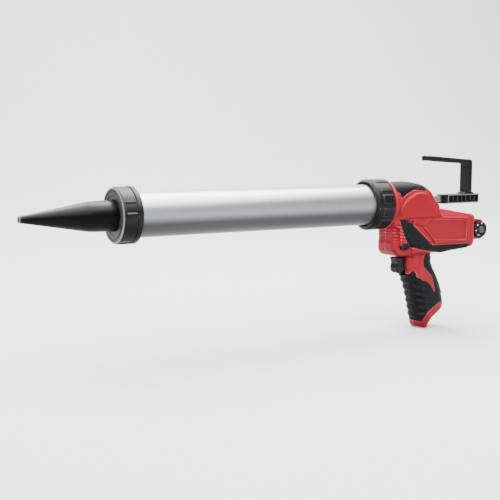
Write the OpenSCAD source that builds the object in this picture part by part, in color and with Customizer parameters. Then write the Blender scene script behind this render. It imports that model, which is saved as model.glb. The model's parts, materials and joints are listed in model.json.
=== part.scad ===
// Cordless caulking gun for sausage packs, as separate pieces.
// X runs from the nozzle's outlet to the rear, +Y is the tool's right side and +Z is up.
// The origin is the centre of the outlet, and the barrel's axis is the X axis.

/* [Barrel] */
// Outside diameter of the barrel tube
tube_d = 54; // [46:0.5:62]
// Wall thickness of the barrel tube
tube_wall = 1.5; // [1:0.1:2.5]
// Length of the barrel tube
tube_len = 369; // [240:1:450]

/* [Nozzle and front cap] */
// Length of the nozzle in front of the cap
nozzle_len = 110.8; // [90:0.1:140]
// Outside diameter of the nozzle's tip
nozzle_tip_d = 8; // [7:0.1:12]
// Outside diameter of the nozzle where it enters the cap
nozzle_base_d = 36.6; // [28:0.1:42]
// Diameter of the outlet
outlet_d = 6; // [3:0.1:6.4]
// Length of the round outlet bore
outlet_len = 8; // [4:0.5:14]
// Length of the front cap
cap_len = 25.3; // [22:0.1:36]
// Thickness of the cap over the tube
cap_wall = 6.8; // [5:0.1:9]

/* [Collar] */
// Length of the collar
collar_len = 28.7; // [26:0.1:36]
// How far the collar reaches in front of the tube's rear end
collar_overlap = 18.7; // [16:0.1:20]
// Thickness of the collar over the front mount's thread
collar_wall = 3.2; // [2.5:0.1:6]

/* [Push rod and handle] */
// Width of the push rod
rod_w = 8; // [6:0.1:10]
// Height of the push rod over its teeth
rod_h = 11.2; // [9:0.1:13]
// Length of the piston
piston_len = 16; // [12:0.5:24]
// Length of the handle block
block_len = 65; // [60:0.5:80]
// Width of the handle block
block_w = 17; // [15:0.1:22]
// Height of the hook above the barrel's axis
hook_h = 64.6; // [50:0.1:80]
// Reach of the hook in front of its upright
hook_reach = 71; // [50:0.5:90]

/* [Housing] */
// Wall thickness of the housing
shell_wall = 2.6; // [2:0.1:3]
// Width of the gearbox part of the housing
gearbox_w = 48; // [48:0.5:60]
// Width of the grip
grip_w = 36; // [34:0.5:42]
// Thickness of the soft pads
pad_t = 1.3; // [0.8:0.1:1.6]

/* [Controls] */
// Travel of the trigger
trigger_travel = 6; // [3:0.5:6]
// Width of the trigger
trigger_w = 16; // [12:0.5:18]
// Diameter of the speed dial
dial_d = 24; // [18:0.5:25]

/* [Drive] */
// Module of the rack and its pinion
rack_module = 1.5; // [1.5:0.1:1.5]
// Teeth of the rack pinion
pinion_teeth = 18; // [18:1:18]
// Module of the spur and bevel gears
gear_module = 1; // [1:0.1:1]
// Teeth of the drive gear
drive_teeth = 50; // [50:1:50]
// Radius of the motor's can
motor_r = 15.5; // [13:0.1:16]

/* [Hidden] */

$fn = 96;
play = 0.05;       // radial clearance of a running fit
gap = 0.3;         // clearance between pieces that must not touch
eps = 1;           // how far a cut runs past the face that it opens

// ---- places along the barrel ----
tube_r = tube_d / 2;
bore_r = tube_r - tube_wall;
cap_front = 5;                               // thickness of the cap's front wall
nozzle_flange = 4;                           // thickness of the nozzle's flange
cap_x = nozzle_len;
tube_x = cap_x + cap_front + nozzle_flange;
tube_end = tube_x + tube_len;
collar_x = tube_end - collar_overlap;
body_x = collar_x + collar_len + gap;        // front face of the housing's lip
cap_r = tube_r + cap_wall;
ring_r = tube_r + 2.5;                       // tube ring
ring_len = 6;
mount_r = tube_r + 3.9;                      // thread of the front mount, as its smooth envelope
mount_flange_r = mount_r + 1.6;
lip_wall = 1.7;             // front wall of the lip, which holds the mount's flange
mount_end = body_x + 4.4;
collar_r = mount_r + collar_wall;
lip_r = collar_r;
lip_len = 4.6;

// ---- gear sizes ----
PA = 25;                    // pressure angle
ADD = 0.8;                  // addendum, in modules
DED = 1.05;                 // dedendum, in modules
backlash = 0.12;            // thinning of each tooth at its pitch line
rack_pitch = PI * rack_module;
pinion_r = rack_module * pinion_teeth / 2;
spur_teeth = 12;            // spur pinion on the intermediate shaft
spur_r = gear_module * spur_teeth / 2;
drive_r = gear_module * drive_teeth / 2;
bevel_teeth = [12, 24];     // bevel pinion, bevel gear
bevel_r = [for (t = bevel_teeth) gear_module * t / 2];
stage_module = 0.6;         // planetary stages
sun_teeth = 12;
planet_teeth = 18;
ring_teeth = sun_teeth + 2 * planet_teeth;
planet_orbit = stage_module * (sun_teeth + planet_teeth) / 2;
ring_pitch_r = stage_module * ring_teeth / 2;

// ---- places in the housing ----
rod_top = 8;
rod_bottom = rod_top - rod_h;
pitch_z = rod_bottom + ADD * rack_module;
root_z = pitch_z + DED * rack_module;
pinion_x = body_x + 44;
pinion_z = pitch_z - pinion_r;
motor_z = pinion_z - 26.5;
mid_x = pinion_x + sqrt(pow(drive_r + spur_r, 2) - pow(pinion_z - motor_z, 2));
mesh_angle = atan2(motor_z - pinion_z, mid_x - pinion_x);
shaft_r = 4;                // pinion shaft
mid_r = 3;                  // intermediate shaft
out_r = 3;                  // output shaft of the planetary gearbox
rotor_r = 1.5;              // motor shaft
pin_r = 1.5;                // planet pins
plate_t = 3;
guide_wall = 2.2;           // wall of the rod guides
guide_play = 0.1;           // rod in its guides, each side
plate_gap = 0.3;            // rod guides to the left gear plate
left_plate_y = -(rod_w / 2 + guide_wall + plate_gap + plate_t);
right_plate_y = 17;
drive_y = 10;               // drive gear and spur pinion
drive_w = 6;
stage_w = 6;                // width of a planet
carrier_t = 2.5;
stage_pitch = stage_w + carrier_t + 1.5;
ring_x = mid_x + bevel_r[1] + 4;
stage_2_x = ring_x + 6;     // front face of the second carrier
stage_1_x = stage_2_x + stage_pitch;
motor_x = stage_1_x + carrier_t + stage_w + 3;
motor_len = 40;
ring_out_r = ring_pitch_r + 2.6;

// ---- push rod, piston and handle ----
piston_x = tube_x + 8;
rod_x = piston_x + 10;
block_x = body_x + 105;
rod_end = block_x + 39;
upright_x = block_x + 42;
upright_t = 9.5;
block_z = [-3, 10];
arm_t = 7;

// ---- controls ----
trigger_x = body_x + 19;
trigger_back = body_x + 50;
switch_x = trigger_back + trigger_travel + 1;
lock_x = body_x + 26;
lock_z = -58;
dial_x = body_x + 163;
dial_z = -40.5;
dial_y = [-21, -11];
stem_r = 2.5;

// ================= functions =================
function unit(v) = v / norm(v);
function cross2(a, b) = a[0] * b[1] - a[1] * b[0];
function at(pts, i) = let (p = pts[(i + len(pts)) % len(pts)]) [p[0], p[1]];

// The outline moved inwards by g; points run anticlockwise and may carry a corner radius
function inset(pts, g) = [
    for (i = [0:len(pts) - 1])
        let (a = unit(at(pts, i) - at(pts, i - 1)), b = unit(at(pts, i + 1) - at(pts, i)))
        let (na = [-a[1], a[0]], nb = [-b[1], b[0]])
        let (p = at(pts, i) + g * (na + nb) / (1 + na * nb))
        let (r = len(pts[i]) > 2 ? pts[i][2] : 0)
        [p[0], p[1], r == 0 ? 0 : cross2(a, b) > 0 ? max(r - g, 0.4) : r + g]
];

// One rounded corner between the points p and n
function corner(p, c, n, r, steps) =
    let (d1 = unit(p - c), d2 = unit(n - c), half = acos(max(-1, min(1, d1 * d2))) / 2)
    let (mid = c + unit(d1 + d2) * r / sin(half), a = c + d1 * r / tan(half), b = c + d2 * r / tan(half))
    let (t0 = atan2(a[1] - mid[1], a[0] - mid[0]), t1 = atan2(b[1] - mid[1], b[0] - mid[0]))
    let (raw = t1 - t0, turn = raw > 180 ? raw - 360 : raw < -180 ? raw + 360 : raw)
    [for (k = [0:steps]) mid + r * [cos(t0 + turn * k / steps), sin(t0 + turn * k / steps)]];

function rounded(pts, steps = 5) = [
    for (i = [0:len(pts) - 1])
        each (len(pts[i]) < 3 || pts[i][2] == 0) ? [at(pts, i)]
            : corner(at(pts, i - 1), at(pts, i), at(pts, i + 1), pts[i][2], steps)
];

function box_points(x0, x1, y0, y1, r) = [[x0, y0, r], [x1, y0, r], [x1, y1, r], [x0, y1, r]];

// Involute teeth, as half the tooth's angle at radius r
function inv(a) = tan(a) * 180 / PI - a;
function half_tooth(r, teeth, m, thin) =
    let (base = teeth * m * cos(PA) / 2, a = acos(min(1, base / r)))
    90 / teeth - thin / (teeth * m) * 180 / PI + inv(PA) - inv(a);
function polar(r, a) = [r * cos(a), r * sin(a)];
function gear_points(teeth, m, low, high, thin, steps = 4) =
    let (r0 = teeth * m / 2 - low * m, r1 = teeth * m / 2 + high * m)
    [for (i = [0:teeth - 1], side = [-1, 1], k = [0:steps])
        let (r = r0 + (r1 - r0) * (side < 0 ? k : steps - k) / steps)
        polar(r, 360 * i / teeth + side * half_tooth(r, teeth, m, thin))];

// Bevel teeth at the large end: the virtual spur gear on the back cone, brought into the end plane
function bevel_points(teeth, mate, m, thin, steps = 4) =
    let (rp = teeth * m / 2, h = mate * m / 2, cone = atan2(rp, h), dist = norm([rp, h]))
    let (virtual = rp / cos(cone), vteeth = teeth / cos(cone))
    [for (i = [0:teeth - 1], side = [-1, 1], k = [0:steps])
        let (v = -DED * m + (ADD + DED) * m * (side < 0 ? k : steps - k) / steps)
        let (slope = cone + atan2(v, dist), r = h * tan(slope))
        let (scale_down = h / (norm([dist, v]) * cos(slope)))
        let (width = (virtual + v) * half_tooth(virtual + v, vteeth, m, thin))
        polar(r, 360 * i / teeth + side * width * scale_down / r)];

// ================= building blocks =================
module xz(y0, y1) {
    translate([0, y1, 0])
        rotate([90, 0, 0])
            linear_extrude(height = y1 - y0)
                children();
}

module yz(x0, x1) {
    translate([x0, 0, 0])
        rotate([90, 0, 90])
            linear_extrude(height = x1 - x0)
                children();
}

module pin_x(r, x0, x1, z = 0, y = 0) {
    translate([x0, y, z])
        rotate([0, 90, 0])
            cylinder(r = r, h = x1 - x0);
}

module pin_y(r, x, z, y0, y1) {
    translate([x, y1, z])
        rotate([90, 0, 0])
            cylinder(r = r, h = y1 - y0);
}

module block(x, y, z) {
    translate([x[0], y[0], z[0]])
        cube([x[1] - x[0], y[1] - y[0], z[1] - z[0]]);
}

// A turned piece about the X axis, from [x, r] points
module turned(pts) {
    rotate([0, 90, 0])
        rotate_extrude()
            polygon([for (p = pts) [p[1], p[0]]]);
}

// A solid with one outline seen from the side and another seen from the end
module crossed(side, end, x, half_w) {
    intersection() {
        xz(-half_w, half_w)
            polygon(side);
        yz(x[0], x[1])
            polygon(end);
    }
}

// ================= housing form =================
// Outlines from the side, measured from the housing's lip
gearbox_side = [
    [4, -26], [16, -34], [16, -57], [88, -57, 6], [84, -2, 8], [75, 5, 5], [70, 14.5, 5], [60, 24.5, 18],
    [42, 30.2, 40], [4, 30.2, 3]
];
tail_side = [
    [38, -70, 4], [92, -69, 8], [105, -66.3, 10], [146, -63, 6], [153, -56, 6], [153.5, -21.5, 4],
    [148, -18.2, 4],
    [90, -7.8, 8], [74, 5, 10], [60, 5], [38, -25]
];
chin_side = [
    [46, -76], [46, -30], [8, -30], [7, -38, 3], [9, -48, 6], [7, -54, 4], [7.5, -62, 5], [15, -70.5, 6],
    [24, -73, 8], [40, -73.2]
];
nose_side = [[140, -54.5], [172, -54.5, 4], [174.5, -27, 4], [160, -25.5], [140, -24]];
// Front and rear of the grip, as [height, place]
grip_front = [
    [-180, 61], [-171, 60], [-163, 58.4], [-150, 55.6], [-137, 52.4], [-125, 49.2], [-113, 45.4], [-104, 41],
    [-98, 38.2], [-94, 39], [-90, 43], [-84, 45], [-60, 45]
];
grip_rear = [
    [-180, 110], [-144, 106.4], [-138, 105.4], [-126, 102.4], [-114, 98], [-104, 93], [-98, 89.6], [-90, 85],
    [-82, 81.5], [-73, 82], [-60, 84]
];
grip_foot = [
    [20, -50], [20, -171], [58, -171, 1], [69.5, -174.8, 2], [73, -167.5, 6], [79, -160.5, 9], [96, -149, 8],
    [104, -142, 2], [125, -136], [125, -50]
];
grip_corner = 0.42;         // how round the grip's section is

function shifted(pts) = [for (p = pts) [p[0] + body_x, p[1], len(p) > 2 ? p[2] : 0]];
function side_outline(pts, g) = rounded(inset(shifted(pts), g));
// End outlines: half width w, from z0 to z1, bottom radius rb and top radius rt
function end_outline(w, z0, z1, rb, rt, g) =
    rounded(inset([[w, z0, rb], [w, z1, rt], [-w, z1, rt], [-w, z0, rb]], g));

dome_r = 30;
dome_rise = 1.2;
chin_w = grip_w + 4;
tail_end = body_x + 153.5;

// Seen from above: square at the near end, and round at the end x1
function plan_outline(x0, x1, half, r0, r1, g) =
    rounded(inset([[x0, -half, r0], [x1, -half, r1], [x1, half, r1], [x0, half, r0]], g));

module seen_from_above() {
    translate([0, 0, -200])
        linear_extrude(height = 300)
            children();
}

module gearbox_form(g) {
    crossed(side_outline(gearbox_side, g), end_outline(gearbox_w / 2, -60, 30.2, 10, 19, g),
        [body_x, body_x + 110], gearbox_w);
}

module tail_form(g) {
    intersection() {
        crossed(side_outline(tail_side, g), end_outline(gearbox_w / 2, -71, 12, 8, 10, g),
            [body_x + 30, body_x + 170], gearbox_w);
        seen_from_above()
            polygon(plan_outline(body_x + 20, tail_end, gearbox_w / 2, 0, 11, g));
    }
}

module chin_form(g) {
    intersection() {
        crossed(side_outline(chin_side, g), end_outline(chin_w / 2, -73.2, -20, 7, 4, g),
            [body_x - 5, body_x + 60], chin_w);
        seen_from_above()
            polygon(plan_outline(body_x + 7, body_x + 70, chin_w / 2, 9, 0, g));
    }
}

// One level of the grip's loft: an oval between a rounded rectangle and an ellipse
function grip_ring(z, g, n = 32) =
    let (x0 = body_x + lookup(z, grip_front) + g, x1 = body_x + lookup(z, grip_rear) - g)
    let (half_x = (x1 - x0) / 2, half_y = grip_w / 2 - g)
    [for (i = [0:n - 1])
        let (a = 360 * i / n, c = cos(a), s = sin(a))
        let (px = sign(c) * pow(abs(c), 2 * grip_corner), py = sign(s) * pow(abs(s), 2 * grip_corner))
        [(x0 + x1) / 2 + half_x * px, half_y * py, z]];

module grip_loft(g) {
    n = 32;
    levels = [-182, -171, -163, -150, -137, -125, -113, -104, -98, -94, -90, -84, -76, -64];
    last = len(levels) - 1;
    polyhedron(
        points = [for (z = levels) each grip_ring(z, g, n)],
        faces = concat(
            [[for (i = [0:n - 1]) i]],
            [for (k = [0:last - 1], i = [0:n - 1])
                let (j = (i + 1) % n)
                each [
                    [k * n + i, (k + 1) * n + j, k * n + j],
                    [k * n + i, (k + 1) * n + i, (k + 1) * n + j]
                ]],
            [[for (i = [n - 1:-1:0]) last * n + i]]
        )
    );
}

module grip_form(g) {
    intersection() {
        grip_loft(g);
        xz(-grip_w, grip_w)
            polygon(side_outline(grip_foot, g));
    }
}

module nose_form(g) {
    intersection() {
        xz(-18 + g, 18 - g)
            polygon(side_outline(nose_side, g));
        seen_from_above()
            polygon(plan_outline(body_x + 140, body_x + 174.5, 19, 0, 13, g));
    }
}

module dome_form(g) {
    rise = gearbox_w / 2 + dome_rise - g;
    intersection() {
        pin_y(dome_r - g, pinion_x, pinion_z, -rise, rise);
        block([pinion_x - 2 * dome_r, pinion_x + 2 * dome_r], [-rise, rise], [-22 + g, 40]);
    }
}

module lip_form() {
    pin_x(lip_r, body_x, body_x + lip_len);
    pin_x(gearbox_w / 2 + 4, body_x, body_x + lip_len + 10);
}

module body_form(g) {
    gearbox_form(g);
    tail_form(g);
    chin_form(g);
    grip_form(g);
    nose_form(g);
    dome_form(g);
}

// ================= soft pads =================
top_pad_area = [
    [1, 40], [1, 27.5], [16.9, 8], [27, 14.6, 14], [40, 19.4, 20], [59, 17, 2], [62, 24, 1], [62, 40]
];
stripe_area = [
    [13.5, -20], [38.4, -22.4, 1], [37.4, -28.7, 2], [66.2, -52.5, 6], [73, -58, 3], [139.5, -58.8, 2],
    [143, -80], [88, -80], [88, -69, 2], [52.3, -63, 4], [30, -57.3, 2], [21.6, -40.6, 4]
];
grip_pad_area = [
    [30, -98], [39, -97, 1], [42.5, -92.6, 1], [46.7, -93, 1], [51, -101.7, 3], [61.7, -106.6, 3],
    [69, -108.6, 4], [76.3, -114.8, 6], [85, -129, 1], [81, -114.2, 12], [77.2, -101.7, 6], [68.5, -93.6, 4],
    [61.7, -87.6, 3], [61, -78.3, 2], [63.2, -71.9], [64, -69], [100, -69], [122, -110], [122, -138],
    [104, -139.5, 3], [92, -139.5, 4], [80, -146.5, 6], [71, -152, 8], [66.7, -159, 8], [64, -166.2, 2],
    [53.7, -163, 2], [38.3, -161, 2], [30, -160]
];

module pad_area(pts) {
    xz(-60, 60)
        polygon(rounded([for (p = pts) [p[0] + body_x, p[1], len(p) > 2 ? p[2] : 0]]));
}

module one_side(left) {
    translate([body_x - 20, left ? -70 : 0, -200])
        cube([230, 70, 300]);
}

module top_pad(left) {
    color([0.17, 0.17, 0.18])
        difference() {
            intersection() {
                gearbox_form(0);
                pad_area(top_pad_area);
                one_side(left);
            }
            gearbox_form(pad_t);
            pin_x(lip_r + gap, body_x - eps, body_x + lip_len);
        }
}

module stripe_pad(left) {
    color([0.14, 0.14, 0.15])
        difference() {
            intersection() {
                union() {
                    gearbox_form(0);
                    tail_form(0);
                    chin_form(0);
                }
                pad_area(stripe_area);
                one_side(left);
            }
            gearbox_form(pad_t);
            tail_form(pad_t);
            chin_form(pad_t);
            dome_form(0);
            lock_hole(gap);
            grip_form(0);
        }
}

module grip_pad(left) {
    color([0.15, 0.15, 0.16])
        difference() {
            intersection() {
                grip_form(0);
                pad_area(grip_pad_area);
                one_side(left);
            }
            grip_form(pad_t);
            tail_form(0);
            chin_form(0);
            trigger_opening();
        }
}

// ================= shells =================
screw_places = [[14, 23], [61, 14.2], [15, -62], [77, -94], [147.5, -54.5], [96, -13.5]];
screw_r = 1.5;
boss_r = 3.6;
head_y = 8;                 // seat of the screws' heads, inside the right shell

module lock_hole(g) {
    xz(-60, 60)
        polygon(rounded(box_points(lock_x - 7 - g, lock_x + 7 + g, lock_z - 4 - g, lock_z + 4 + g, 3.4 + g)));
}

module trigger_opening() {
    half = trigger_w / 2 + gap;
    block([trigger_x - 10, trigger_back + trigger_travel + gap], [-half, half], [-99.5, -73]);
}

module shell(left) {
    color([0.78, 0.06, 0.09])
        difference() {
            union() {
                difference() {
                    union() {
                        body_form(0);
                        lip_form();
                    }
                    body_form(shell_wall);
                    pin_x(mount_r + 0.1, body_x - eps, mount_end);
                    pin_x(mount_flange_r + 0.1, body_x + lip_wall, mount_end);
                }
                intersection() {
                    union() {
                        for (p = screw_places)
                            pin_y(boss_r, body_x + p[0], p[1], -gearbox_w / 2, gearbox_w / 2);
                    }
                    body_form(shell_wall / 2);
                }
            }
            translate([body_x - 20, left ? 0 : -70, -200])
                cube([230, 70, 300]);
            top_pad_cut();
            stripe_pad_cut();
            grip_pad_cut();
            for (p = screw_places) {
                pin_y(screw_r, body_x + p[0], p[1], -12, 60);
                pin_y(3.2, body_x + p[0], p[1], head_y, 60);
            }
            lock_hole(0.1);
            trigger_opening();
            block([rod_x, body_x + 110], [-rod_w / 2 - gap, rod_w / 2 + gap],
                [rod_bottom - gap, rod_top + gap]);
            pin_y(dial_d / 2 + 0.5, dial_x, dial_z, -60, dial_y[1] + 0.5);
            pin_y(8.5, dial_x, dial_z, dial_y[1], 0.2);
            grip_loft(shell_wall);
            side_panel_recess(left);
        }
}

module top_pad_cut() {
    difference() {
        intersection() {
            gearbox_form(-2);
            pad_area(top_pad_area);
        }
        gearbox_form(pad_t);
        pin_x(lip_r + gap, body_x - eps, body_x + lip_len);
    }
}

module stripe_pad_cut() {
    difference() {
        intersection() {
            union() {
                gearbox_form(-2);
                tail_form(-2);
                chin_form(-2);
            }
            pad_area(stripe_area);
        }
        gearbox_form(pad_t);
        tail_form(pad_t);
        chin_form(pad_t);
        dome_form(0);
        grip_form(0);
    }
}

module grip_pad_cut() {
    difference() {
        intersection() {
            grip_form(-2);
            pad_area(grip_pad_area);
        }
        grip_form(pad_t);
        tail_form(0);
        chin_form(0);
    }
}

module side_panel_recess(left) {
    depth = 1;
    y0 = left ? -gearbox_w / 2 - 10 : gearbox_w / 2 - depth;
    y1 = left ? -gearbox_w / 2 + depth : gearbox_w / 2 + 10;
    xz(y0, y1)
        polygon(rounded(shifted([
            [54.6, -30.4, 2], [63.8, -22.6, 2], [129, -25.5, 3], [132.2, -29.5, 3], [131.5, -52.5, 2],
            [76.4, -49, 2]
        ])));
}

// ================= barrel group =================
module nozzle() {
    base_r = nozzle_base_d / 2;
    wall = 1.6;
    shoulder_x = nozzle_len - 29;
    flange_r = bore_r + tube_wall - 0.5;
    color([0.1, 0.1, 0.11])
        turned([
            [0, outlet_d / 2], [0, nozzle_tip_d / 2 - 0.4], [0.4, nozzle_tip_d / 2],
            [shoulder_x, base_r - 0.6], [cap_x + cap_front, base_r], [cap_x + cap_front, flange_r],
            [cap_x + cap_front + nozzle_flange - 0.2, flange_r],
            [cap_x + cap_front + nozzle_flange - 0.2, base_r - wall],
            [shoulder_x, base_r - 0.6 - wall], [outlet_len, outlet_d / 2]
        ]);
}

module front_cap() {
    hole_r = nozzle_base_d / 2 + 0.3;
    end_x = cap_x + cap_len;
    color([0.11, 0.11, 0.12])
        difference() {
            turned([
                [cap_x + 1.2, hole_r], [cap_x + 1.2, hole_r + 5], [cap_x, hole_r + 5.6], [cap_x, cap_r - 2.2],
                [cap_x + 2, cap_r - 0.4], [cap_x + cap_len - 8, cap_r - 0.4],
                [cap_x + cap_len - 8, cap_r - 1.2],
                [end_x - 6.6, cap_r - 1.2], [end_x - 6.6, cap_r], [end_x - 1.4, cap_r], [end_x, cap_r - 1.4],
                [end_x, tube_r + play], [tube_x - nozzle_flange, tube_r + play],
                [tube_x - nozzle_flange, hole_r]
            ]);
            for (a = [0:60:359])
                rotate([a + 22, 0, 0])
                    block([cap_x + 7, end_x - 9], [-5, 5], [cap_r - 1.6, cap_r + 2]);
            for (a = [0:30:359])
                rotate([a, 0, 0])
                    pin_x(1, cap_x - eps, cap_x + 0.6, 0, hole_r + 9.5);
        }
}

module barrel_tube() {
    color([0.75, 0.76, 0.78])
        difference() {
            pin_x(tube_r, tube_x, tube_end);
            pin_x(bore_r, tube_x - eps, tube_end + eps);
        }
}

module tube_ring() {
    color([0.6, 0.61, 0.63])
        difference() {
            pin_x(ring_r, tube_end - ring_len, tube_end);
            pin_x(tube_r, tube_end - ring_len - eps, tube_end + eps);
        }
}

module collar() {
    step_x = tube_end - ring_len;
    end_x = collar_x + collar_len;
    lugs = 12;
    color([0.11, 0.11, 0.12])
        union() {
            turned([
                [collar_x, tube_r + 1.6], [collar_x, collar_r - 2.4], [collar_x + 2.4, collar_r],
                [collar_x + 7, collar_r], [collar_x + 7.6, collar_r - 1.3], [end_x - 1, collar_r - 1.3],
                [end_x, collar_r - 2], [end_x, mount_r + play],
                [tube_end - 0.6, mount_r + play], [tube_end - 0.6, ring_r + play],
                [step_x - 0.1, ring_r + play],
                [step_x - 0.1, tube_r + 1.6]
            ]);
            for (i = [0:lugs - 1])
                rotate([360 / lugs * (i + 0.5), 0, 0])
                    intersection() {
                        block([collar_x + 9, end_x - 1.5], [-6.2, 6.2], [collar_r - 2, collar_r + 1]);
                        pin_x(collar_r, collar_x, end_x);
                    }
        }
}

module front_mount() {
    hole_y = rod_w / 2 + 2;
    color([0.2, 0.2, 0.21])
        difference() {
            union() {
                pin_x(mount_r, tube_end, body_x + lip_wall);
                pin_x(mount_flange_r, body_x + lip_wall, mount_end);
            }
            pin_x(bore_r - 2, tube_end - eps, tube_end + 8);
            block([tube_end, mount_end + eps], [-hole_y, hole_y], [rod_bottom - 2, rod_top + 2]);
        }
}

// ================= push rod group =================
module rack_rod() {
    first = ceil((rod_x + 20 - pinion_x) / rack_pitch);
    last = floor((block_x - 6 - pinion_x) / rack_pitch);
    tip = rack_pitch / 4 - backlash / 2 - ADD * rack_module * tan(PA);
    root = rack_pitch / 4 - backlash / 2 + DED * rack_module * tan(PA);
    teeth = [
        for (i = [first:last], s = [-root, -tip, tip, root])
            [pinion_x + i * rack_pitch + s, abs(s) == root ? root_z : rod_bottom]
    ];
    color([0.72, 0.73, 0.74])
        difference() {
            xz(-rod_w / 2, rod_w / 2)
                polygon(concat(
                    [[rod_end, rod_top], [rod_x, rod_top], [rod_x, rod_bottom],
                     [rod_x + 16, rod_bottom], [rod_x + 17, root_z]],
                    teeth,
                    [[rod_end, root_z]]
                ));
            pin_x(2.5, rod_x - eps, rod_x + 14, (rod_top + rod_bottom) / 2);
            translate([block_x + 12, 0, root_z - eps])
                cylinder(r = 2, h = 8);
        }
}

module piston() {
    z = (rod_top + rod_bottom) / 2;
    r = bore_r - 0.15;
    color([0.12, 0.12, 0.13])
        difference() {
            turned([
                [piston_x + 3, 0], [piston_x + 3, r - 6], [piston_x, r - 3], [piston_x, r - 0.8],
                [piston_x + 2, r], [piston_x + piston_len - 2, r], [piston_x + piston_len, r - 1],
                [piston_x + piston_len, r - 4], [piston_x + 8, r - 4], [piston_x + 8, 0]
            ]);
            pin_x(2.5, piston_x - eps, piston_x + piston_len, z);
            pin_x(6, piston_x - eps, piston_x + 5, z);
        }
}

module piston_washer() {
    z = (rod_top + rod_bottom) / 2;
    color([0.6, 0.6, 0.62])
        difference() {
            pin_x(bore_r - 6, piston_x + 8, rod_x);
            pin_x(2.5, piston_x, rod_x + eps, z);
        }
}

module piston_screw() {
    z = (rod_top + rod_bottom) / 2;
    color([0.5, 0.5, 0.52])
        difference() {
            union() {
                pin_x(2.5, piston_x + 4, rod_x + 12, z);
                pin_x(4.5, piston_x + 1.5, piston_x + 5, z);
            }
            translate([piston_x + 1, 0, z])
                rotate([0, 90, 0])
                    cylinder(r = 2.3, h = 2.5, $fn = 6);
        }
}

module handle_block() {
    ribs = 7;
    pocket = [block_x + 8, block_x + block_len - 3];
    pitch = (pocket[1] - pocket[0] + 1.6) / ribs;
    half = block_w / 2;
    depth = 2.2;
    color([0.1, 0.1, 0.11])
        difference() {
            union() {
                xz(-half, half)
                    polygon(rounded(box_points(block_x, block_x + block_len, block_z[0], block_z[1], 1.2)));
                block([upright_x - 4, upright_x + upright_t + 4], [-half + 0.4, half - 0.4], [9, 12.2]);
            }
            block([block_x - eps, rod_end + 0.1], [-rod_w / 2 - 0.1, rod_w / 2 + 0.1],
                [root_z - 0.1, rod_top + 0.1]);
            block([upright_x, upright_x + upright_t], [-6, 6], [0, 20]);
            for (i = [0:ribs - 1], s = [-1, 1])
                block([pocket[0] + i * pitch, pocket[0] + (i + 1) * pitch - 1.6],
                    [s * half - (s > 0 ? depth : eps), s * half + (s > 0 ? eps : depth)], [-0.8, 7.8]);
            for (x = [block_x + 12, upright_x + upright_t / 2]) {
                translate([x, 0, -5])
                    cylinder(r = 2, h = 8);
                translate([x, 0, -5])
                    cylinder(r = 3.5, h = 3.4);
            }
        }
}

module hook_handle() {
    x0 = upright_x;
    x1 = upright_x + upright_t;
    tip_x = x0 - hook_reach;
    drop = 5;
    color([0.12, 0.12, 0.13])
        difference() {
            union() {
                xz(-8, 8)
                    polygon(rounded([
                        [x0, 12.2], [x1, 12.2], [x1, hook_h - drop - 1, 5], [x0 - 10, hook_h - drop, 40],
                        [x0 - 40, hook_h - 2.4, 60], [tip_x, hook_h, 1.5], [tip_x, hook_h - arm_t, 1.5],
                        [x0 - 40, hook_h - 2.4 - arm_t, 60], [x0, hook_h - drop - arm_t, 2]
                    ], 6));
                block([x0 + 0.1, x1 - 0.1], [-5.9, 5.9], [0.1, 13]);
            }
            translate([(x0 + x1) / 2, 0, -1])
                cylinder(r = 1.6, h = 10);
        }
}

module handle_screws() {
    color([0.3, 0.3, 0.32])
        for (p = [[block_x + 12, root_z + 6.6], [upright_x + upright_t / 2, 8]]) {
            translate([p[0], 0, -1.6])
                cylinder(r = 1.6, h = p[1] + 1.6);
            translate([p[0], 0, -2.9])
                difference() {
                    cylinder(r = 3.2, h = 1.3);
                    translate([0, 0, -0.1])
                        cylinder(r = 1.5, h = 0.9, $fn = 6);
                }
        }
}

module rod_guide(x0, x1) {
    color([0.85, 0.83, 0.76])
        difference() {
            block([x0, x1], [-rod_w / 2 - guide_wall, rod_w / 2 + guide_wall],
                [rod_bottom - guide_wall, rod_top + guide_wall]);
            block([x0 - eps, x1 + eps], [-rod_w / 2 - guide_play, rod_w / 2 + guide_play],
                [rod_bottom - guide_play, rod_top + guide_play]);
        }
}

// ================= gear train =================
// Pillars and the plates' outline, counted from the pinion's axis
pillar_places = [[-28, -8], [-23, 27.5], [8, 28.2], [-4, -31.5]];
plate_side = [
    [-30, 31.5], [-33, -9], [-28, -12], [-16, -26], [-10, -36.5], [25, -36.5], [26, 0], [11, 31.5]
];

module gear_plate(y) {
    color([0.66, 0.67, 0.69])
        difference() {
            xz(y, y + plate_t)
                polygon(rounded([
                    for (p = plate_side)
                        [pinion_x + p[0], pinion_z + p[1], 6]
                ]));
            pin_y(shaft_r + 2, pinion_x, pinion_z, y - eps, y + plate_t + eps);
            pin_y(mid_r + 2, mid_x, motor_z, y - eps, y + plate_t + eps);
            for (p = pillar_places)
                pin_y(1.6, pinion_x + p[0], pinion_z + p[1], y - eps, y + plate_t + eps);
        }
}

module plate_pillars() {
    color([0.55, 0.56, 0.58])
        for (p = pillar_places) {
            pin_y(3, pinion_x + p[0], pinion_z + p[1], left_plate_y + plate_t, right_plate_y);
            pin_y(1.6, pinion_x + p[0], pinion_z + p[1], left_plate_y, right_plate_y + plate_t);
        }
}

module shaft_bushes() {
    color([0.7, 0.52, 0.25])
        for (y = [left_plate_y, right_plate_y], s = [[shaft_r, pinion_x, pinion_z], [mid_r, mid_x, motor_z]])
            difference() {
                pin_y(s[0] + 2, s[1], s[2], y, y + plate_t);
                pin_y(s[0] + play, s[1], s[2], y - eps, y + plate_t + eps);
            }
}

module gear_y(x, z, y, w, teeth, m, turn) {
    translate([x, y + w, z])
        rotate([90, 0, 0])
            rotate([0, 0, turn])
                linear_extrude(height = w)
                    polygon(gear_points(teeth, m, DED, ADD, backlash));
}

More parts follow.
